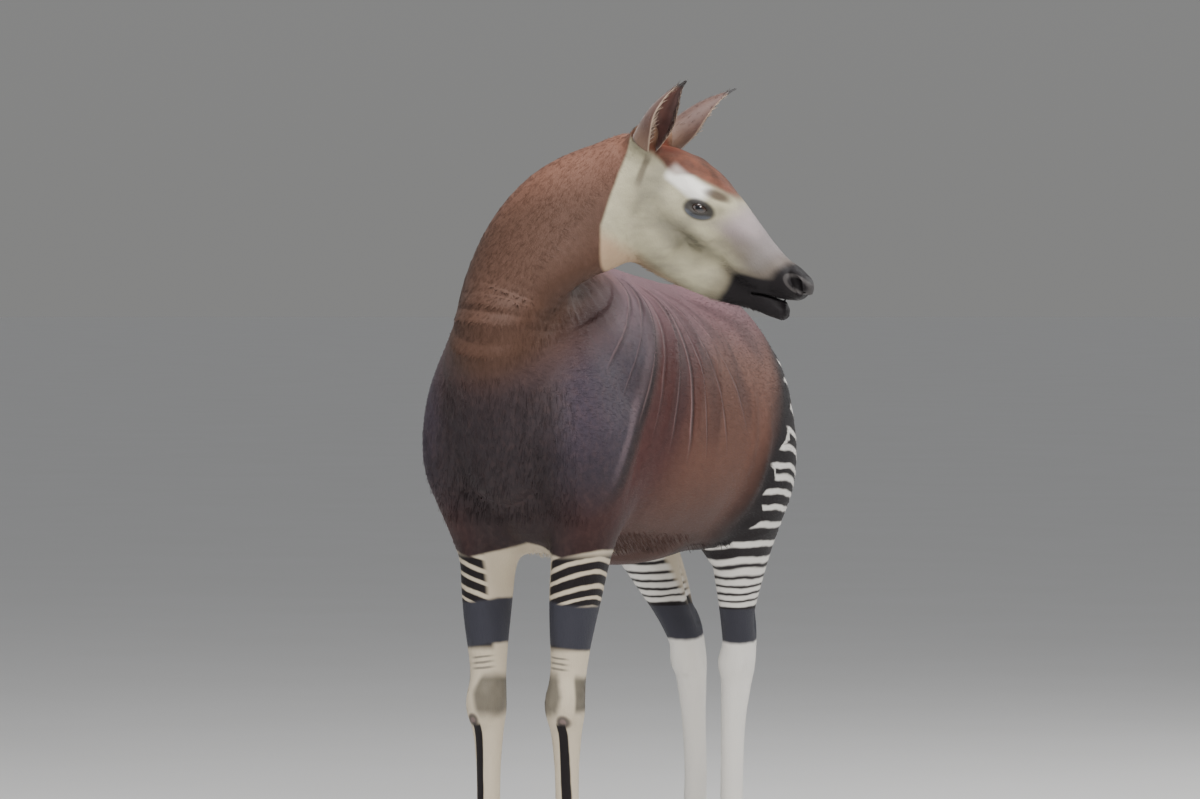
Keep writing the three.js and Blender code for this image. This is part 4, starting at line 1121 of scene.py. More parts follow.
def paint_forelegs(paint, s, body):
    """Cream above with dark barred outsides, a slate band, a cream ring, the knee and the cannon."""
    z, wobble = s.z, s.wobble
    out, fore = s.on_leg(-0.392, "fore_right")
    out = out - 0.088 - (z - 0.60).most(0.0) * 0.09
    level = z - (out + fore * 0.25) * 0.36 + wobble * 0.020
    top_line = z + s.ripple * 0.02 + wobble * 0.012 - out.size() * 0.25
    dark_side = (out + fore * 0.42 + (0.84 - z) * 0.06 + wobble * 0.016).rise(-0.010, 0.004)
    dark_side = dark_side * z.fall(0.845, 0.865) * z.rise(0.64, 0.66)
    leg = paint.mix(dark_side * (1.0 - bars(level, FORELEG_BARS)), CREAM, NEAR_BLACK)
    leg = leg.under((z + out * 0.15 + wobble * 0.012).between(0.655, 0.752, 0.005), BAND_SLATE)
    in_front = (out + fore * 0.1).between(-0.02, 0.022, 0.01)
    thin_lines = bars(z + out * 0.1 + wobble * 0.010, KNEE_LINES) * in_front
    leg = leg.under((thin_lines * 0.7).most(0.0), KNEE_LINE)
    knee_in = (out - fore * 0.10 + wobble * 0.03 + (z - 0.548).size() * 0.25).fall(-0.004, 0.014)
    knee_in = knee_in * (z + wobble * 0.04).between(0.504, 0.592, 0.014)
    knee_out = (out - fore * 1.1 + wobble * 0.02).rise(-0.012, 0.004)
    knee_out = knee_out * (z + wobble * 0.03).between(0.515, 0.590, 0.010)
    leg = leg.under(knee_in.most(knee_out) * (0.45 + s.patchy * 0.7).least(0.85), KNEE_GREY)
    callus = (out - CALLUS_MARK[0]).square() + (z - CALLUS_MARK[1]).square()
    is_front = fore.rise(0.010, 0.016)
    leg = leg.under(callus.fall(0.00008, 0.00032) * is_front * 0.85, CALLUS_DARK)
    leg = leg.under(callus.fall(0.00001, 0.00006) * is_front * 0.7, CALLUS_PINK)
    cannon_line = (out - 0.007 + wobble * 0.006).size().fall(0.0085, 0.0115) * fore.rise(0.000, 0.006)
    leg = leg.under(cannon_line * (z + wobble * 0.02).between(0.17, 0.487, 0.006), NEAR_BLACK)
    leg = leg.under((z + wobble * 0.03).fall(0.160, 0.180), NEAR_BLACK)
    return body.under(top_line.fall(0.845, 0.853) * s.y.fall(-0.20, -0.15), leg)


def cheek_color(paint, s):
    """Pale cheek with grey below and behind the eye, and a warm throat."""
    ahead, up, wobble = s.ahead, s.up, s.wobble
    below_eye = ((ahead - 0.195).size() * 0.55 + (up + 0.045).size() * 1.3 + wobble * 0.06).fall(0.015, 0.075)
    behind_eye = ((ahead - 0.085).size() + (up + 0.005).size() * 0.6 + wobble * 0.05).fall(0.010, 0.060)
    grey = (below_eye * 0.9).most(behind_eye * 0.75) + (s.streaks - 0.42).most(0.0) * 1.5
    cheek = paint.mix(grey.least(1.0) * 0.85, CHEEK, CHEEK_GREY)
    cheek = cheek.under((s.brushed - 0.47).most(0.0) * 3.2 * ahead.rise(0.0, 0.10), CHEEK_STROKES)
    return cheek.under((up + ahead * 0.10 + wobble * 0.03).fall(-0.150, -0.110) * 0.75, THROAT)


def paint_head(paint, s, body):
    """Pale cheek behind a sharp border, russet forehead, lilac nose and black muzzle."""
    x, y, z, ahead, left, up = s.x, s.y, s.z, s.ahead, s.left, s.up
    wobble = s.wobble
    aside = left.size()
    snout = (ahead - up * 0.35 + wobble * 0.03).rise(0.215, 0.275)
    bridge = (up + (ahead - 0.30) * 0.12 + wobble * 0.02).rise(-0.012, 0.018)
    face = cheek_color(paint, s).under(snout * bridge * 0.9, LILAC)
    # Painted shade in a brown band under the bridge of the nose
    below = (up + 0.004 + (ahead - 0.35) * 0.10 + wobble * 0.03).size().fall(0.006, 0.048)
    face = face.under(below * ahead.rise(0.22, 0.34) * 0.90, SNOUT_BROWN_AND_SHADE)
    face = face.under((ahead + up * 0.4 + s.brushed * 0.10).rise(0.33, 0.45) * 0.72, SNOUT_GREY)

    brow_line = up - 0.066 + (ahead - 0.11).size() * -0.10 + ahead.fall(0.10, 0.15) * 0.020 + wobble * 0.012
    brow = brow_line.rise(-0.005, 0.010) * (ahead + aside * 0.3 + wobble * 0.03).fall(0.255, 0.300)
    whorls = (s.streaks * 2.6 - 0.9).most(0.0).least(1.0)
    face = face.under(brow * 0.95, paint.mix(whorls, RUSSET_DARK, RUSSET_LIGHT))
    pale = (up - 0.052 + wobble * 0.016).size().fall(0.010, 0.026)
    pale = pale * (ahead + wobble * 0.02).between(0.095, 0.196, 0.014)
    face = face.under(pale * (1.0 - brow * 0.6), WHITE)
    spot_along = ahead - SPOT_MARK[0]
    spot_above = up - SPOT_MARK[1] - spot_along * 0.15 + wobble * 0.012
    spot = (spot_along + wobble * 0.02).square() * 0.22 + spot_above.square() * 1.7
    face = face.under(spot.fall(0.00002, 0.00030) * 0.85, BROW_SPOT)

    eye_along = (ahead - EYE_MARK[0]) + (up - 0.024) * LID_SLANT
    eye_above = (up - EYE_MARK[1]) - (ahead - EYE_MARK[0]) * LID_SLANT
    eye_way = eye_along.square() * 0.62 + eye_above.square() * 1.5
    face = face.under(eye_way.fall(0.00050, 0.00110) * 0.92, EYE_SHADE)
    lid_shade = eye_way.between(0.00024, 0.00066, 0.00008) * eye_above.fall(-0.012, -0.004)
    face = face.under(lid_shade * 0.75, LID_BLUE)

    mouth_start = 0.328 + (up + wobble * 0.02).rise(-0.058, -0.010) * 0.078 + up.rise(0.0, 0.05) * 0.012
    muzzle_way = ahead + wobble * 0.030 - mouth_start
    face = face.under(muzzle_way.rise(-0.050, -0.004) * 0.6, SNOUT_BROWN_AND_SHADE)
    face = face.under(muzzle_way.rise(-0.012, 0.014), MUZZLE)
    # Painted blue-grey sheen on the rim round each nostril
    nostril_sheen_rim = s.off_mark(NOSTRIL_MARK, 0.45, 1.7).between(0.00022, 0.00050, 0.00008)
    face = face.under(nostril_sheen_rim * 0.5, NOSTRIL_SHEEN)
    face = face.under(s.off_mark(TEETH_MARK, 0.6, 3.0).fall(0.00003, 0.00008) * 0.8, TEETH)
    # Painted shade in front of each ear's root, in the same brown
    ear_root_shade = (ahead - 0.052 + up * 0.35 + wobble * 0.012).size().fall(0.003, 0.012)
    ear_root_shade = ear_root_shade * up.between(-0.01, 0.055, 0.02) * aside.rise(0.050, 0.062)
    face = face.under(ear_root_shade * 0.7, SNOUT_BROWN_AND_SHADE)

    hairline = x * 0.99 + (y + 0.47) * 0.14 - 0.222 - (z - 1.573).most(0.0) * 0.27 + wobble * 0.016
    on_head = hairline.rise(-0.005, 0.005) * (z + x * 0.35).rise(1.47, 1.49) * y.fall(-0.26, -0.24)
    crown = (up + wobble * 0.02).rise(0.050, 0.075) * aside.fall(0.040, 0.055) * ahead.fall(0.06, 0.10)
    body = body.under(on_head * (1.0 - crown), face)
    body = body.under(crown * x.rise(0.17, 0.21), paint.mix(s.streaks, CROWN_DARK, RUSSET))
    root = (up + wobble * 0.02).rise(0.060, 0.100) * (ahead + wobble * 0.02).fall(0.055, 0.085)
    root = root * aside.rise(0.035, 0.05) * x.rise(0.15, 0.18)
    return body.under(root, paint.mix(s.patchy, EAR_BROWN, EAR_ROOT_TAN))


def coat_material():
    """The coat's markings, with painted shade and highlights on folds, back, shoulder and face, for the skin
    and every tuft alike, worked out from the place on the body.
    """
    paint = Paint("coat", roughness=0.55, Sheen_Weight=0.03, Sheen_Roughness=0.3, Specular_IOR_Level=0.16)
    s = Spot(paint)
    soft, shade, ridge = fan_folds(s)
    body = trunk_color(paint, s)
    # Painted shade and highlights of the fan folds, laid into the skin's colour
    body = body.under(soft * 0.55 * (s.broad * 1.6).least(1.0), FOLD_SOFT_SHADE)
    body = body.under(shade * 0.8, FOLD_SHADE).under(ridge * 0.65, FOLD_HIGHLIGHT)
    body = paint_hindquarters(paint, s, body)
    body = paint_forelegs(paint, s, body)
    body = paint_head(paint, s, body)
    tail = (s.y - 0.60 - (s.z - 1.25) * 0.2).rise(0.045, 0.055)
    tail = tail * s.z.fall(1.30, 1.31) * s.side.fall(0.040, 0.045)
    body = body.under(tail, paint.mix(s.z.fall(0.96, 1.02), CHESTNUT, NEAR_BLACK))
    hair = paint.noise(150.0, 3.0, (2.6, 0.6, 1.2), 0.65) * s.z.rise(0.8, 0.95)
    hair = hair + paint.noise(170.0, 3.0, (2.4, 2.4, 0.45), 0.65) * s.z.fall(0.8, 0.95)
    paint.set("Base Color", body)
    paint.set("Roughness", 0.46 + s.patchy * 0.20)
    paint.bump(hair + s.patchy * 0.6 + (ridge - shade) * 2.6 - soft * 1.2, 0.45, 0.0022)
    return paint.material


def floor_material():
    paint = Paint("pale_floor", roughness=0.75)
    paint.set("Base Color", paint.mix(paint.noise(1.5), FLOOR_DARK, FLOOR_LIGHT))
    return paint.material


def horn_material():
    """Grey-brown horn with growth rings and an upright grain."""
    paint = Paint("hoof_horn", roughness=0.42)
    rings = (paint.along((0, 0, 1)) / 0.0062 + paint.noise(14.0) * 1.4).wave() * 0.5
    grain = paint.noise(70.0, 3.0, (3, 3, 0.4))
    paint.set("Base Color", paint.mix(grain, HORN_DARK, HORN_LIGHT))
    paint.set("Roughness", 0.38 + grain * 0.25)
    paint.bump(rings * 0.5 + grain, 0.45, 0.0016)
    return paint.material


def eye_material(name, side):
    """A dark brown iris round a wide oval pupil, and a darker rim, all wet."""
    centre, _, ahead, up = eye_frame(side)
    paint = Paint("eye_" + name, roughness=0.05, Coat_Weight=1.0, Coat_Roughness=0.02)
    across = paint.along(ahead, centre) * (1 / MM)
    tall = paint.along(up, centre) * (1 / MM)
    radius = (across.square() + tall.square()).math("SQRT")
    pupil = ((across * 0.62).square() + tall.square() * 2.2).fall(38.0, 52.0)
    color = paint.mix(paint.noise(160.0, 3.0), IRIS_DARK, IRIS_LIGHT).under(pupil, PUPIL)
    paint.set("Base Color", color.under(radius.rise(15.0, 17.5), EYE_RIM))
    return paint.material


COAT = coat_material()


def ride_all(piece, slot, *nodes):
    """A piece's body, slot and replaced nodes. The slot is not used."""
    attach(piece, "root")
    if nodes:
        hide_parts(*nodes)


# Folds of the loose skin: [y, z] points down the side, with height and width in millimetres
FOLDS = [
    ([(-30, 1500), (-90, 1420), (-134, 1350), (-205, 1230), (-280, 1110), (-350, 985)], -7, 20),
    ([(0, 1490), (-55, 1400), (-100, 1310), (-160, 1190), (-215, 1080)], 5, 15),
    ([(-70, 1480), (-150, 1400), (-200, 1310), (-262, 1200)], 4, 14),
    ([(-150, 1480), (-235, 1380), (-290, 1270), (-320, 1150)], 5, 17),
    ([(-210, 1470), (-300, 1370), (-362, 1250), (-390, 1130)], -4, 16),
    ([(50, 1460), (20, 1360), (-20, 1240), (-60, 1110)], 4, 14),
    ([(110, 1450), (95, 1340), (60, 1210), (20, 1080)], 3, 13),
    ([(180, 1430), (175, 1310), (150, 1180)], 2.5, 14),
    ([(330, 1190), (300, 1060), (262, 960), (215, 890)], 9, 24),
    ([(250, 1230), (245, 1110), (215, 1000)], 3, 15),
]


def fold_heights(points):
    """How far the folds raise or sink the skin at each point."""
    height = np.zeros(len(points))
    side = np.abs(points[:, 0])
    for line, rise, width in FOLDS:
        path = curve(line, 30)
        low = path.min(0) - 3 * width
        high = path.max(0) + 3 * width
        near = np.flatnonzero(np.all((points[:, 1:] > low) & (points[:, 1:] < high), axis=1))
        best = np.full(len(near), np.inf)
        share = np.zeros(len(near))
        for i in range(len(path) - 1):
            along = path[i + 1] - path[i]
            offset = points[near, 1:] - path[i]
            t = np.clip(offset @ along / (along @ along), 0, 1)
            gap = np.linalg.norm(offset - t[:, None] * along, axis=1)
            closer = gap < best
            best[closer] = gap[closer]
            share[closer] = (i + t[closer]) / (len(path) - 1)
        fade = np.sin(np.pi * np.clip(share, 0.03, 0.97)) ** 0.6
        height[near] += rise * fade * np.exp(-(best / width) ** 2) * np.clip((side[near] - 60) / 60, 0, 1)
    chest_room = points[:, 1] + 300 + (1250 - points[:, 2]) * 0.4
    return height * np.clip(chest_room / 60, 0, 1)


FLESH_NODES = ["torso", "neck", "head", "tail", *("leg_" + name for name in STANCE)]
SKIN_TRIANGLES = 186000


def make_skin():
    """The skin, drawn onto its surface, folded and thinned."""
    distance = dressed_skin()
    vertices, quads = surface(distance)
    vertices, outward = settle(distance, vertices)
    vertices = vertices + outward * fold_heights(vertices)[:, None]
    skin = mesh_object("skin", to_part(vertices), quads, COAT)
    triangles = 2 * len(quads)
    if triangles > SKIN_TRIANGLES:
        thinner = skin.modifiers.new("thinner", "DECIMATE")
        thinner.ratio = SKIN_TRIANGLES / triangles
        finish_mesh(skin)
    skin.data.polygons.foreach_set("use_smooth", np.ones(len(skin.data.polygons), dtype=bool))
    return skin


def make_eyes():
    """Eyeballs that bulge a little in front."""
    for name, side in SIDES.items():
        centre, outward, ahead, up = eye_frame(side)
        rings = 28
        spokes = 44
        vertices = []
        for i in range(rings + 1):
            polar = math.pi * i / rings
            bulge = 1 + 0.07 * max(0, math.cos(polar) - 0.78) / 0.22
            for j in range(spokes):
                turn = 2 * math.pi * j / spokes
                round_way = ahead * math.cos(turn) + up * math.sin(turn)
                way = outward * math.cos(polar) + round_way * math.sin(polar)
                vertices.append(centre + way * (EYE_RADIUS - 0.2) * bulge)
        eye = mesh_object(
            f"eyeball_{name}", to_part(vertices), ring_faces(rings + 1, spokes), eye_material(name, side))
        tidy_shell(eye)
        ride_all(eye, "eye", f"eye_{name}")


# Horn: its reach up under the hair, its outline's roundness, the swell of its growth rings, half the
# cleft between the claws, and how far ahead of the foot's middle its top edge starts to drop
HORN_REACH = 16
HORN_ROUNDNESS = 2.3
RING_SWELL = 0.012
HALF_CLEFT = 1.4
DROP_START = 12


def make_hooves():
    """Each claw of horn, with its wall, rounded toe and flat sole."""
    horn = horn_material()
    spokes = 40
    slope = math.tan(CORONET_TILT)
    for name, (side, line, shift) in STANCE.items():
        stations = leg_stations(side, line, shift)
        foot_x, foot_y = stations[-1][:2]
        for toe, claw in zip((-1, 1), claw_lines(stations)):
            rings = []
            rows = curve(claw, 60)
            rows = rows[(rows[:, 2] < CORONET_LEVEL + HORN_REACH) & (rows[:, 2] > 0)][::3]
            rows = np.vstack([rows, rows[-1]])
            rows[-1, 2] = 0
            for n, (x, y, z, width, fore, aft) in enumerate(rows):
                ring = []
                flare = 1.0 + RING_SWELL * math.sin(n * 1.9)
                for j in range(spokes):
                    turn = 2 * math.pi * j / spokes
                    c = math.cos(turn)
                    s = math.sin(turn)
                    reach = fore if c > 0 else aft
                    span = (abs(c) ** HORN_ROUNDNESS + abs(s) ** HORN_ROUNDNESS) ** (-1 / HORN_ROUNDNESS)
                    px = x + width * s * span * flare
                    py = y - reach * c * span * flare
                    px = max(px, foot_x + HALF_CLEFT) if toe > 0 else min(px, foot_x - HALF_CLEFT)
                    drop = (foot_y - DROP_START - py) * slope
                    ring.append((px, py, min(z, CORONET_LEVEL - drop * 0.9) if n == 0 else z))
                rings.append(ring)
            tops = [CORONET_LEVEL + 3 - (foot_y - DROP_START - p[1]) * slope for p in rings[0]]
            vertices = [(px, py, min(pz, top)) for ring in rings for top, (px, py, pz) in zip(tops, ring)]
            count = len(rings)
            faces = ring_faces(count, spokes)
            faces.append(list(range(spokes)))
            faces.append(list(range((count - 1) * spokes, count * spokes)))
            which = "outer" if toe * side > 0 else "inner"
            hoof = mesh_object(f"hoof_{name}_{which}", to_part(vertices), faces, horn)
            tidy_shell(hoof)
            ride_all(hoof, "hoof", f"claw_{name}_{which}")


def ear_frame(side, tip, faces):
    """An ear's root, its way to the tip, the way its back faces, and the way across it."""
    start = at_head((EAR_ROOT[0], side * EAR_ROOT[1], EAR_ROOT[2]))
    way = in_head(tip)
    back = unit(in_head(faces) - unit(way) * (in_head(faces) @ unit(way)))
    return start, way, back, np.cross(unit(way), back)


def ear_point(frame_of_ear, share, turn, wall):
    """A place on the ear: share of its length, turn from its spine from -1 to 1, depth into its wall."""
    start, way, back, across = frame_of_ear
    place = curve(EAR_CURL, 121)
    spot = share * 120
    _, radius, half = (np.interp(spot, np.arange(121), place[:, k]) for k in range(3))
    angle = math.radians(half) * turn
    lean = EAR_BASE_BACK * (1 - share) + EAR_LEAN * math.sin(math.pi * share)
    spine = start + way * (0.1 + 0.9 * share) + back * (radius - lean)
    r = max(0.6, radius - wall)
    return spine - back * r * math.cos(angle) + across * r * math.sin(angle)


# How far across an ear from its spine, how far up it, and whether inside its cup
EAR_LABELS = ("ear_turn", "ear_along", "ear_cup")


def ear_material(name):
    """Brown outside, darker inside the cup and reddish higher up in it, a pale rim and a near-black tip."""
    paint = Paint("ear_" + name, roughness=0.6, Sheen_Weight=0.2, Sheen_Roughness=0.45)
    turn, along, cup = (paint.node("ShaderNodeAttribute", {"attribute_name": label}, {}, "Fac")
                        for label in EAR_LABELS)
    mottle = paint.noise(40.0, 3.0)
    base = (along + mottle * 0.1).fall(0.02, 0.42)
    outside = paint.mix(mottle, EAR_LIGHT, EAR_DARK).under(base * 0.6, EAR_BASE)
    reddish = (along + mottle * 0.3).between(0.45, 1.0, 0.12) * (turn + 0.1).between(-0.5, 0.6, 0.2)
    inside = paint.mix(mottle, CUP_DARK, CUP_LIGHT).under(reddish * 0.7, CUP_RED)
    rim = turn.size().rise(0.93, 0.985) * along.fall(0.86, 0.93)
    tip = (along + mottle * 0.06).rise(0.84, 0.94)
    color = outside.under(cup, inside).under(rim * 0.75, EAR_RIM).under(tip, NEAR_BLACK)
    paint.set("Base Color", color)
    paint.bump(paint.noise(120.0, 3.0, (1, 1, 0.4)), 0.4, 0.0015)
    return paint.material


EAR_WALL = 3.4


def make_ears():
    """Each ear as one curled wall, and the hair that grows on it."""
    rings = 44
    spokes = 33
    for name, placing in EARS.items():
        ear = ear_frame(*placing)
        vertices = []
        along = []
        turns = []
        cups = []
        for i in range(rings + 1):
            share = i / rings
            for wall, cup in ((0.6, 0), (EAR_WALL - 0.4, 1)):
                order = range(spokes) if cup == 0 else reversed(range(spokes))
                for j in order:
                    turn = 2 * j / (spokes - 1) - 1
                    thin = wall if cup == 0 else 0.6 + (wall - 0.6) * max(0.3, 1 - abs(turn) ** 6)
                    crease = 1.1 * math.sin(turn * 11) * math.sin(math.pi * share) * cup
                    vertices.append(ear_point(ear, share, turn, thin + crease))
                    along.append(share)
                    turns.append(turn)
                    cups.append(cup)
        sides = 2 * spokes
        faces = ring_faces(rings + 1, sides)
        for ring in (0, rings):
            for j in range(spokes - 1):
                faces.append([ring * sides + n for n in (j, j + 1, sides - 2 - j, sides - 1 - j)])
        obj = mesh_object(f"ear_cup_{name}", to_part(vertices), faces, ear_material(name))
        for label, values in zip(EAR_LABELS, (turns, along, cups)):
            attribute = obj.data.attributes.new(label, "FLOAT", "POINT")
            attribute.data.foreach_set("value", np.asarray(values, dtype=np.float32))
        tidy_shell(obj, merged=False)
        unwrap(obj)
        ride_all(obj, "ear_coat", f"ear_{name}")
        grow_locks(f"ear_hair_{name}", obj, ear_locks(ear), "ear_coat", width=0.07, bend=0.12, ragged=0.25)


def unwrap(obj):
    """Lays the object's own faces out flat, in the map that colours are baked into."""
    obj.data.uv_layers.new(name="OFBake")
    bpy.context.view_layer.objects.active = obj
    obj.select_set(True)
    bpy.ops.object.mode_set(mode="EDIT")
    bpy.ops.mesh.select_all(action="SELECT")
    bpy.ops.uv.smart_project(angle_limit=math.radians(66), island_margin=0.002)
    bpy.ops.object.mode_set(mode="OBJECT")
    obj.select_set(False)


def corner_places(mesh):
    """The map places of every triangle's three corners."""
    mesh.calc_loop_triangles()
    return pulled(mesh.uv_layers["OFBake"].data, "uv", 2)[pulled(mesh.loop_triangles, "loops", 3, np.int32)]


# The coat: thin flat tufts that lie along the body. Each tuft and lock takes its baked colour from a
# patch of this size, at its root's place on the map
PATCH = 0.003
BARE_ROUND_EYE = 30
HORN_TOP = 75
MUZZLE_START = 415
LEG_TOP = 860
TAIL_START = 665
TRUNK_HAIR = 13.0
LEG_HAIR = 9.0
FOOT_HAIR = 7.0
FACE_HAIR = 6.0
TUFTS_A_PIECE = 64000
LOCKS_A_SQUARE_METRE = 60000


def is_face(points, start=0):
    """Which points lie on the head, from a place along it on."""
    return (from_head(points)[:, 0] > start) & (points[:, 0] > 120) & (points[:, 2] > 1400)


def lie(points):
    """The way that the hair lies at each point."""
    way = np.tile(np.array([0.0, 1.0, -0.35]), (len(points), 1))
    way[points[:, 2] < LEG_TOP] = (0, 0.12, -1)
    on_face = is_face(points)
    on_neck = (points[:, 2] - 0.5 * points[:, 1] > 1590) & ~on_face
    way[on_neck] = (-0.35, 0.1, -1)
    way[on_face] = -HEAD_AHEAD + 0.35 * -HEAD_UP
    way[points[:, 1] > TAIL_START] = (0, 0, -1)
    return way


def tuft_lengths(points):
    """Tufts are longest on the trunk and shortest on the face and feet."""
    length = np.full(len(points), TRUNK_HAIR)
    length[points[:, 2] < LEG_TOP] = LEG_HAIR
    length[points[:, 2] < 400] = FOOT_HAIR
    length[is_face(points, 20)] = FACE_HAIR
    return length


def make_tufts(name, skin, count, slot):
    """Tufts of three narrow triangles each, scattered by area over the skin."""
    vertices, triangles = arrays(skin.data)
    vertices = vertices / MM - SHIFT
    a, b, c = (vertices[triangles[:, k]] for k in range(3))
    cross = np.cross(b - a, c - a)
    area = np.linalg.norm(cross, axis=1)
    middle = (a + b + c) / 3
    weight = area * (middle[:, 2] > HORN_TOP)
    on_muzzle = (from_head(middle)[:, 0] > MUZZLE_START) & (middle[:, 0] > 300)
    weight *= np.where(on_muzzle, 0.05, 1)
    weight *= np.where(tuft_lengths(middle) < FOOT_HAIR, 2.2, 1)
    for side in SIDES.values():
        weight *= np.linalg.norm(middle - eye_frame(side)[0], axis=1) > BARE_ROUND_EYE
    pick = RANDOM.choice(len(triangles), size=count, p=weight / weight.sum())
    u = RANDOM.random((count, 2))
    flip = u.sum(1) > 1
    u[flip] = 1 - u[flip]
    root = a[pick] + u[:, :1] * (b - a)[pick] + u[:, 1:] * (c - a)[pick]
    normal = unit(cross[pick])
    way = lie(root) + RANDOM.normal(0, 0.16, (count, 3))
    way = unit(way - normal * (way * normal).sum(1)[:, None])
    across = np.cross(normal, way)
    length = tuft_lengths(root) * RANDOM.uniform(0.75, 1.3, count)
    width = length * RANDOM.uniform(0.10, 0.17, count)
    lift = RANDOM.uniform(0.03, 0.11, count) * length
    rows = []
    for share in (0, 0.45, 1):
        height = lift * math.sin(share * 1.9) - 0.5
        centre = root + way * (length * share)[:, None] + normal * height[:, None]
        half = (width * (1 - share) ** 0.7)[:, None]
        rows.append((centre - across * half, centre + across * half, centre + normal * (half * 0.35)))
    points = np.stack([rows[0][0], rows[0][1], rows[1][0], rows[1][1], rows[2][2]], 1).reshape(-1, 3)
    start = np.arange(count)[:, None] * 5
    faces = np.vstack([start + np.array([corners]) for corners in ((0, 3, 1), (0, 2, 3), (2, 4, 3))])
    obj = mesh_object(name, to_part(points), faces, COAT)
    flat = corner_places(skin.data)[pick]
    root_place = flat[:, 0] + u[:, :1] * (flat[:, 1] - flat[:, 0]) + u[:, 1:] * (flat[:, 2] - flat[:, 0])
    patch = np.array([(-0.5, -0.5), (0.5, -0.5), (-0.4, 0), (0.4, 0), (0, 0.5)]) * PATCH
    places = (root_place[:, None] + patch[None]).reshape(-1, 2)
    obj.data.uv_layers.new(name="OFBake").data.foreach_set("uv", places[faces].astype(np.float32).ravel())
    shading = normal[:, None] + way[:, None] * np.array([0.0, 0.0, 0.1, 0.1, 0.18])[None, :, None]
    obj.data.normals_split_custom_set_from_vertices(unit(shading.reshape(-1, 3)))
    ride_all(obj, slot)


# Longer locks, scattered by a node tree wherever the carrier's own attributes ask for them
LOCK_INPUTS = {"Carrier": "Geometry", "Density": "Float", "Width": "Float", "Bend": "Float",
               "Ragged": "Float", "Seed": "Int", "Hair": "Material"}
LOCK_SEED = 11
LOCK_SIDES = 4
LOCK_SEGMENTS = 3
LOCK_FLATNESS = 0.35


def lock_tree():
    """Scatters flat bent locks over a carrier, by the carrier's own attributes."""
    tree = bpy.data.node_groups.new("locks", "GeometryNodeTree")
    for name, kind in LOCK_INPUTS.items():
        tree.interface.new_socket(name, in_out="INPUT", socket_type="NodeSocket" + kind)
    tree.interface.new_socket("Locks", in_out="OUTPUT", socket_type="NodeSocketGeometry")

    def add(kind, settings=None, inputs=None):
        node = tree.nodes.new(kind)
        for name, value in (settings or {}).items():
            setattr(node, name, value)
        for name, value in (inputs or {}).items():
            if hasattr(value, "is_output"):
                tree.links.new(value, node.inputs[name])
            else:
                node.inputs[name].default_value = value
        return node

    def named(name, kind):
        return add("GeometryNodeInputNamedAttribute", {"data_type": kind}, {"Name": name}).outputs[0]

    def maths(operation, first, second, kind="Math"):
        return add("ShaderNode" + kind, {"operation": operation}, {0: first, 1: second}).outputs[0]

    given = add("NodeGroupInput").outputs
    thick = maths("MULTIPLY", given["Density"], named("lock_density", "FLOAT"))
    spread = add("GeometryNodeDistributePointsOnFaces", {}, {
        "Mesh": given["Carrier"], "Density": thick, "Seed": given["Seed"]})
    rooted = add("GeometryNodeStoreNamedAttribute", {"data_type": "FLOAT_VECTOR", "domain": "POINT"}, {
        "Geometry": spread.outputs["Points"], "Name": "root_place", "Value": named("OFBake", "FLOAT_VECTOR")})
    cone = add("GeometryNodeMeshCone", {"fill_type": "NONE"}, {
        "Vertices": LOCK_SIDES, "Side Segments": LOCK_SEGMENTS, "Radius Top": 0.02,
        "Radius Bottom": given["Width"], "Depth": 1.0})
    place = add("GeometryNodeInputPosition").outputs[0]
    marked = add("GeometryNodeStoreNamedAttribute", {"data_type": "FLOAT_VECTOR", "domain": "POINT"}, {
        "Geometry": cone.outputs["Mesh"], "Name": "spot", "Value": place})
    parts = add("ShaderNodeSeparateXYZ", {}, {0: place}).outputs
    hang = maths("MULTIPLY", maths("MULTIPLY", parts["Z"], parts["Z"]), given["Bend"])
    lean = maths("SUBTRACT", maths("MULTIPLY", parts["X"], LOCK_FLATNESS), hang)
    bent = add("ShaderNodeCombineXYZ", {}, {"X": lean, "Y": parts["Y"], "Z": parts["Z"]}).outputs[0]
    lock = add("GeometryNodeSetPosition", {}, {"Geometry": marked.outputs[0], "Position": bent})
    astray = add("FunctionNodeRandomValue", {"data_type": "FLOAT_VECTOR"}, {
        "Min": (-1, -1, -1), "Max": (1, 1, 1), "Seed": given["Seed"]}).outputs["Value"]
    off = add("ShaderNodeVectorMath", {"operation": "SCALE"}, {
        0: astray, "Scale": given["Ragged"]}).outputs[0]
    way = maths("ADD", named("lock_way", "FLOAT_VECTOR"), off, "VectorMath")
    along = add("FunctionNodeAlignRotationToVector", {"axis": "Z"}, {"Vector": way}).outputs[0]
    turned = add("FunctionNodeAlignRotationToVector", {"axis": "X", "pivot_axis": "Z"}, {
        "Rotation": along, "Vector": spread.outputs["Normal"]}).outputs[0]
    chance = add("FunctionNodeRandomValue", {"data_type": "FLOAT"}, {2: 0.65, 3: 1.25, "Seed": given["Seed"]})
    scale = maths("MULTIPLY", named("lock_length", "FLOAT"), chance.outputs[1])
    grown = add("GeometryNodeInstanceOnPoints", {}, {
        "Points": rooted.outputs[0], "Instance": lock.outputs[0], "Rotation": turned, "Scale": scale})
    real = add("GeometryNodeRealizeInstances", {}, {"Geometry": grown.outputs[0]})
    soft = add("GeometryNodeSetShadeSmooth", {}, {"Geometry": real.outputs[0]})
    dressed = add("GeometryNodeSetMaterial", {}, {"Geometry": soft.outputs[0], "Material": given["Hair"]})
    add("NodeGroupOutput", {}, {"Locks": dressed.outputs[0]})
    return tree


LOCKS = lock_tree()


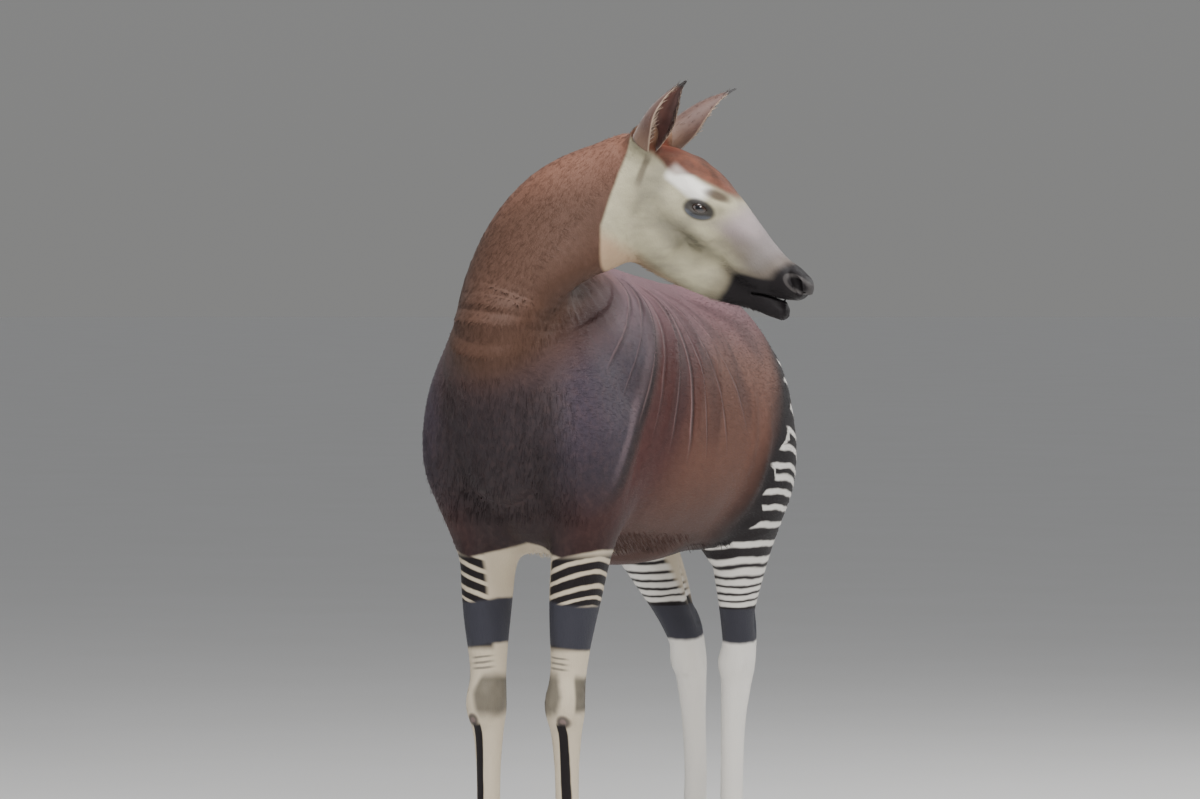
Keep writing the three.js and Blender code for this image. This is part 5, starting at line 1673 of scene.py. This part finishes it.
def grow_locks(name, carrier, rule, slot, width, bend, ragged):
    """Locks over a carrier. The rule gives each point's share of the density, its length and its way."""
    base = carrier.copy()
    base.data = carrier.data.copy()
    base.name = name + "_carrier"
    bpy.context.scene.collection.objects.link(base)
    vertices, _ = arrays(base.data)
    normals = pulled(base.data.vertex_normals, "vector", 3).astype(float)
    share, length, way = rule(vertices / MM - SHIFT, normals, base.data)
    for label, kind, values in (("lock_density", "FLOAT", share), ("lock_length", "FLOAT", length * MM)):
        base.data.attributes.new(label, kind, "POINT").data.foreach_set("value", values.astype(np.float32))
    base.data.attributes.new("lock_way", "FLOAT_VECTOR", "POINT").data.foreach_set(
        "vector", unit(way).astype(np.float32).ravel())
    growth = base.modifiers.new("growth", "NODES")
    growth.node_group = LOCKS
    wanted = {"Density": LOCKS_A_SQUARE_METRE, "Width": width, "Bend": bend, "Ragged": ragged,
              "Seed": LOCK_SEED, "Hair": carrier.data.materials[0]}
    for item in LOCKS.interface.items_tree:
        if item.name in wanted:
            growth[item.identifier] = wanted[item.name]
    graph = bpy.context.evaluated_depsgraph_get()
    mesh = bpy.data.meshes.new_from_object(base.evaluated_get(graph), depsgraph=graph)
    bpy.data.objects.remove(base)
    mesh.name = name
    spot = pulled(mesh.attributes["spot"].data, "vector", 3)
    flat = np.stack([spot[:, 1] / (2 * width), spot[:, 2] - 0.5], 1) * PATCH
    flat = flat + pulled(mesh.attributes["root_place"].data, "vector", 3)[:, :2]
    for label in ("OFBake", "root_place", "spot", "lock_density", "lock_length", "lock_way"):
        if label in mesh.attributes:
            mesh.attributes.remove(mesh.attributes[label])
    flat = flat[pulled(mesh.loops, "vertex_index", 1, np.int32)].astype(np.float32)
    mesh.uv_layers.new(name="OFBake").data.foreach_set("uv", flat.ravel())
    obj = bpy.data.objects.new(name, mesh)
    bpy.context.scene.collection.objects.link(obj)
    ride_all(obj, slot)


def body_locks(points, normals, _):
    """Where the body's hair is long: nape, chin, throat, brisket, belly, fetlocks and tail."""
    x, y, z = points.T
    head = from_head(points)
    share = np.zeros(len(points))
    length = np.full(len(points), 12.0)
    way = lie(points)

    def grow(where, amount, size, direction):
        share[where] = amount
        length[where] = size
        way[where] = direction

    face = is_face(points)
    neck = (z > 1600) & ~face & (y < -300)
    nape = neck & (normals @ unit(np.array([-0.25, 0.45, 0.85])) > 0.86)
    grow(nape, 0.4, 13.0, (-0.35, 0.75, 0.10))
    under = normals @ HEAD_UP < -0.55
    grow(face & (head[:, 0] > 300) & (head[:, 0] < 445) & under, 0.5, 11.0, -0.8 * HEAD_AHEAD - 0.7 * HEAD_UP)
    grow(face & (head[:, 0] < 250) & under, 0.4, 15.0, -HEAD_AHEAD - 0.25 * HEAD_UP)
    grow((y < -330) & (z > 930) & (z < 1250) & (normals[:, 1] < -0.6), 0.22, 18.0, (0, -0.15, -1))
    belly = (y > -300) & (y < 420) & (z > 850) & (z < 1010) & (normals[:, 2] < -0.72)
    grow(belly, 0.22, 20.0, (0, 0.7, -0.55))
    grow((z > 95) & (z < 200) & (normals[:, 1] > 0.35), 0.9, 20.0, (0, 0.35, -1))
    grow((y > 640) & (z < 1010) & (z > 780) & (np.abs(x) < 50), 1.0, 62.0, (0, 0.0, -1))
    return share, length, unit(way) + 0.22 * normals


def ear_locks(frame_of_ear):
    """The rule for the hair along an ear's rims."""
    def rule(points, normals, mesh):
        turn, along, cup = (pulled(mesh.attributes[label].data, "value") for label in EAR_LABELS)
        _, tip, _, across = frame_of_ear
        rim = (np.abs(turn) > 0.84) & (along > 0.10) & (along < 0.94)
        share = np.where(rim, 1.0, np.where((cup < 0.5) & (along < 0.95), 0.20, 0.0))
        length = np.where(rim, 15.0, 9.0)
        inward = -across[None] * np.sign(turn)[:, None] * np.where(rim, 0.55, 0.0)[:, None]
        way = unit(tip)[None] + inward + 0.15 * normals
        return share, length, way
    return rule


# Camera, floor and light
CAMERA_TURN = math.radians(26)
CAMERA_DISTANCE = 14.4
CAMERA_HEIGHT = 1.60
CAMERA_LENS = 196.0
LOOK_AT = (73, -200, 1188)


def make_camera():
    """The camera at the photograph's viewing angle."""
    target = to_part(LOOK_AT)
    place = target + np.array([math.sin(CAMERA_TURN), -math.cos(CAMERA_TURN), 0]) * CAMERA_DISTANCE
    place[2] = CAMERA_HEIGHT
    data = bpy.data.cameras.new("camera")
    data.lens = CAMERA_LENS
    data.sensor_width = 36
    data.clip_end = 100
    camera = bpy.data.objects.new("camera", data)
    bpy.context.scene.collection.objects.link(camera)
    camera.location = place
    camera.rotation_euler = (Vector(target) - Vector(place)).to_track_quat("-Z", "Y").to_euler()
    bpy.context.scene.camera = camera


def make_stage():
    """A plain pale floor."""
    reach = 400
    level = -0.0005
    corners = [(-reach, -reach, level), (reach, -reach, level), (reach, reach, level), (-reach, reach, level)]
    floor = mesh_object("floor", corners, [(0, 1, 2, 3)], floor_material(), smooth=False)


def add_light(name, place, target, size, power, color=(1, 1, 1)):
    """A square lamp turned to a target."""
    data = bpy.data.lights.new(name, "AREA")
    data.size = size
    data.energy = power
    data.color = color
    lamp = bpy.data.objects.new(name, data)
    lamp.location = place
    lamp.rotation_euler = (Vector(target) - Vector(place)).to_track_quat("-Z", "Y").to_euler()
    bpy.context.scene.collection.objects.link(lamp)


def make_lights():
    """Soft lamps above, ahead and behind, all turned to the animal's chest."""
    target = (0, 0, 1.1)
    add_light("overhead", (0.6, -1.4, 5.0), target, 3.2, 300)
    add_light("key", (3.6, -5.0, 4.0), target, 1.8, 230, (1, 0.98, 0.95))
    add_light("fill", (-4.8, -3.4, 2.2), target, 3.5, 40, (0.94, 0.97, 1))
    add_light("back", (2.6, 4.6, 3.6), target, 2.4, 130)


# The sky's grey from level with the eye to overhead
SKY_STOPS = [(0.5, (0.74, 0.74, 0.73)), (0.72, (0.90, 0.92, 0.95))]
SKY_STRENGTH = 0.32


def make_sky():
    """A plain studio sky, brighter overhead."""
    world = bpy.data.worlds.new("studio")
    world.use_nodes = True
    sky = Nodes(world.node_tree)
    way = sky.node("ShaderNodeTexCoord", {}, {}, "Generated")
    height = sky.node("ShaderNodeSeparateXYZ", {}, {0: way}, "Z").math("MULTIPLY_ADD", 0.5, 0.5)
    color = sky.node("ShaderNodeValToRGB", {"stops": SKY_STOPS}, {"Fac": height}, "Color")
    background = world.node_tree.nodes["Background"]
    background.inputs["Strength"].default_value = SKY_STRENGTH
    world.node_tree.links.new(color.socket, background.inputs["Color"])
    bpy.context.scene.world = world


make_camera()
make_stage()
make_lights()
make_sky()
skin = make_skin()
unwrap(skin)
ride_all(skin, "body_coat", *FLESH_NODES)
make_eyes()
make_hooves()
make_ears()
for piece_name in ("coat_tufts_a", "coat_tufts_b"):
    make_tufts(piece_name, skin, TUFTS_A_PIECE, "body_coat")
grow_locks("long_locks", skin, body_locks, "body_coat", width=0.05, bend=0.10, ragged=0.14)
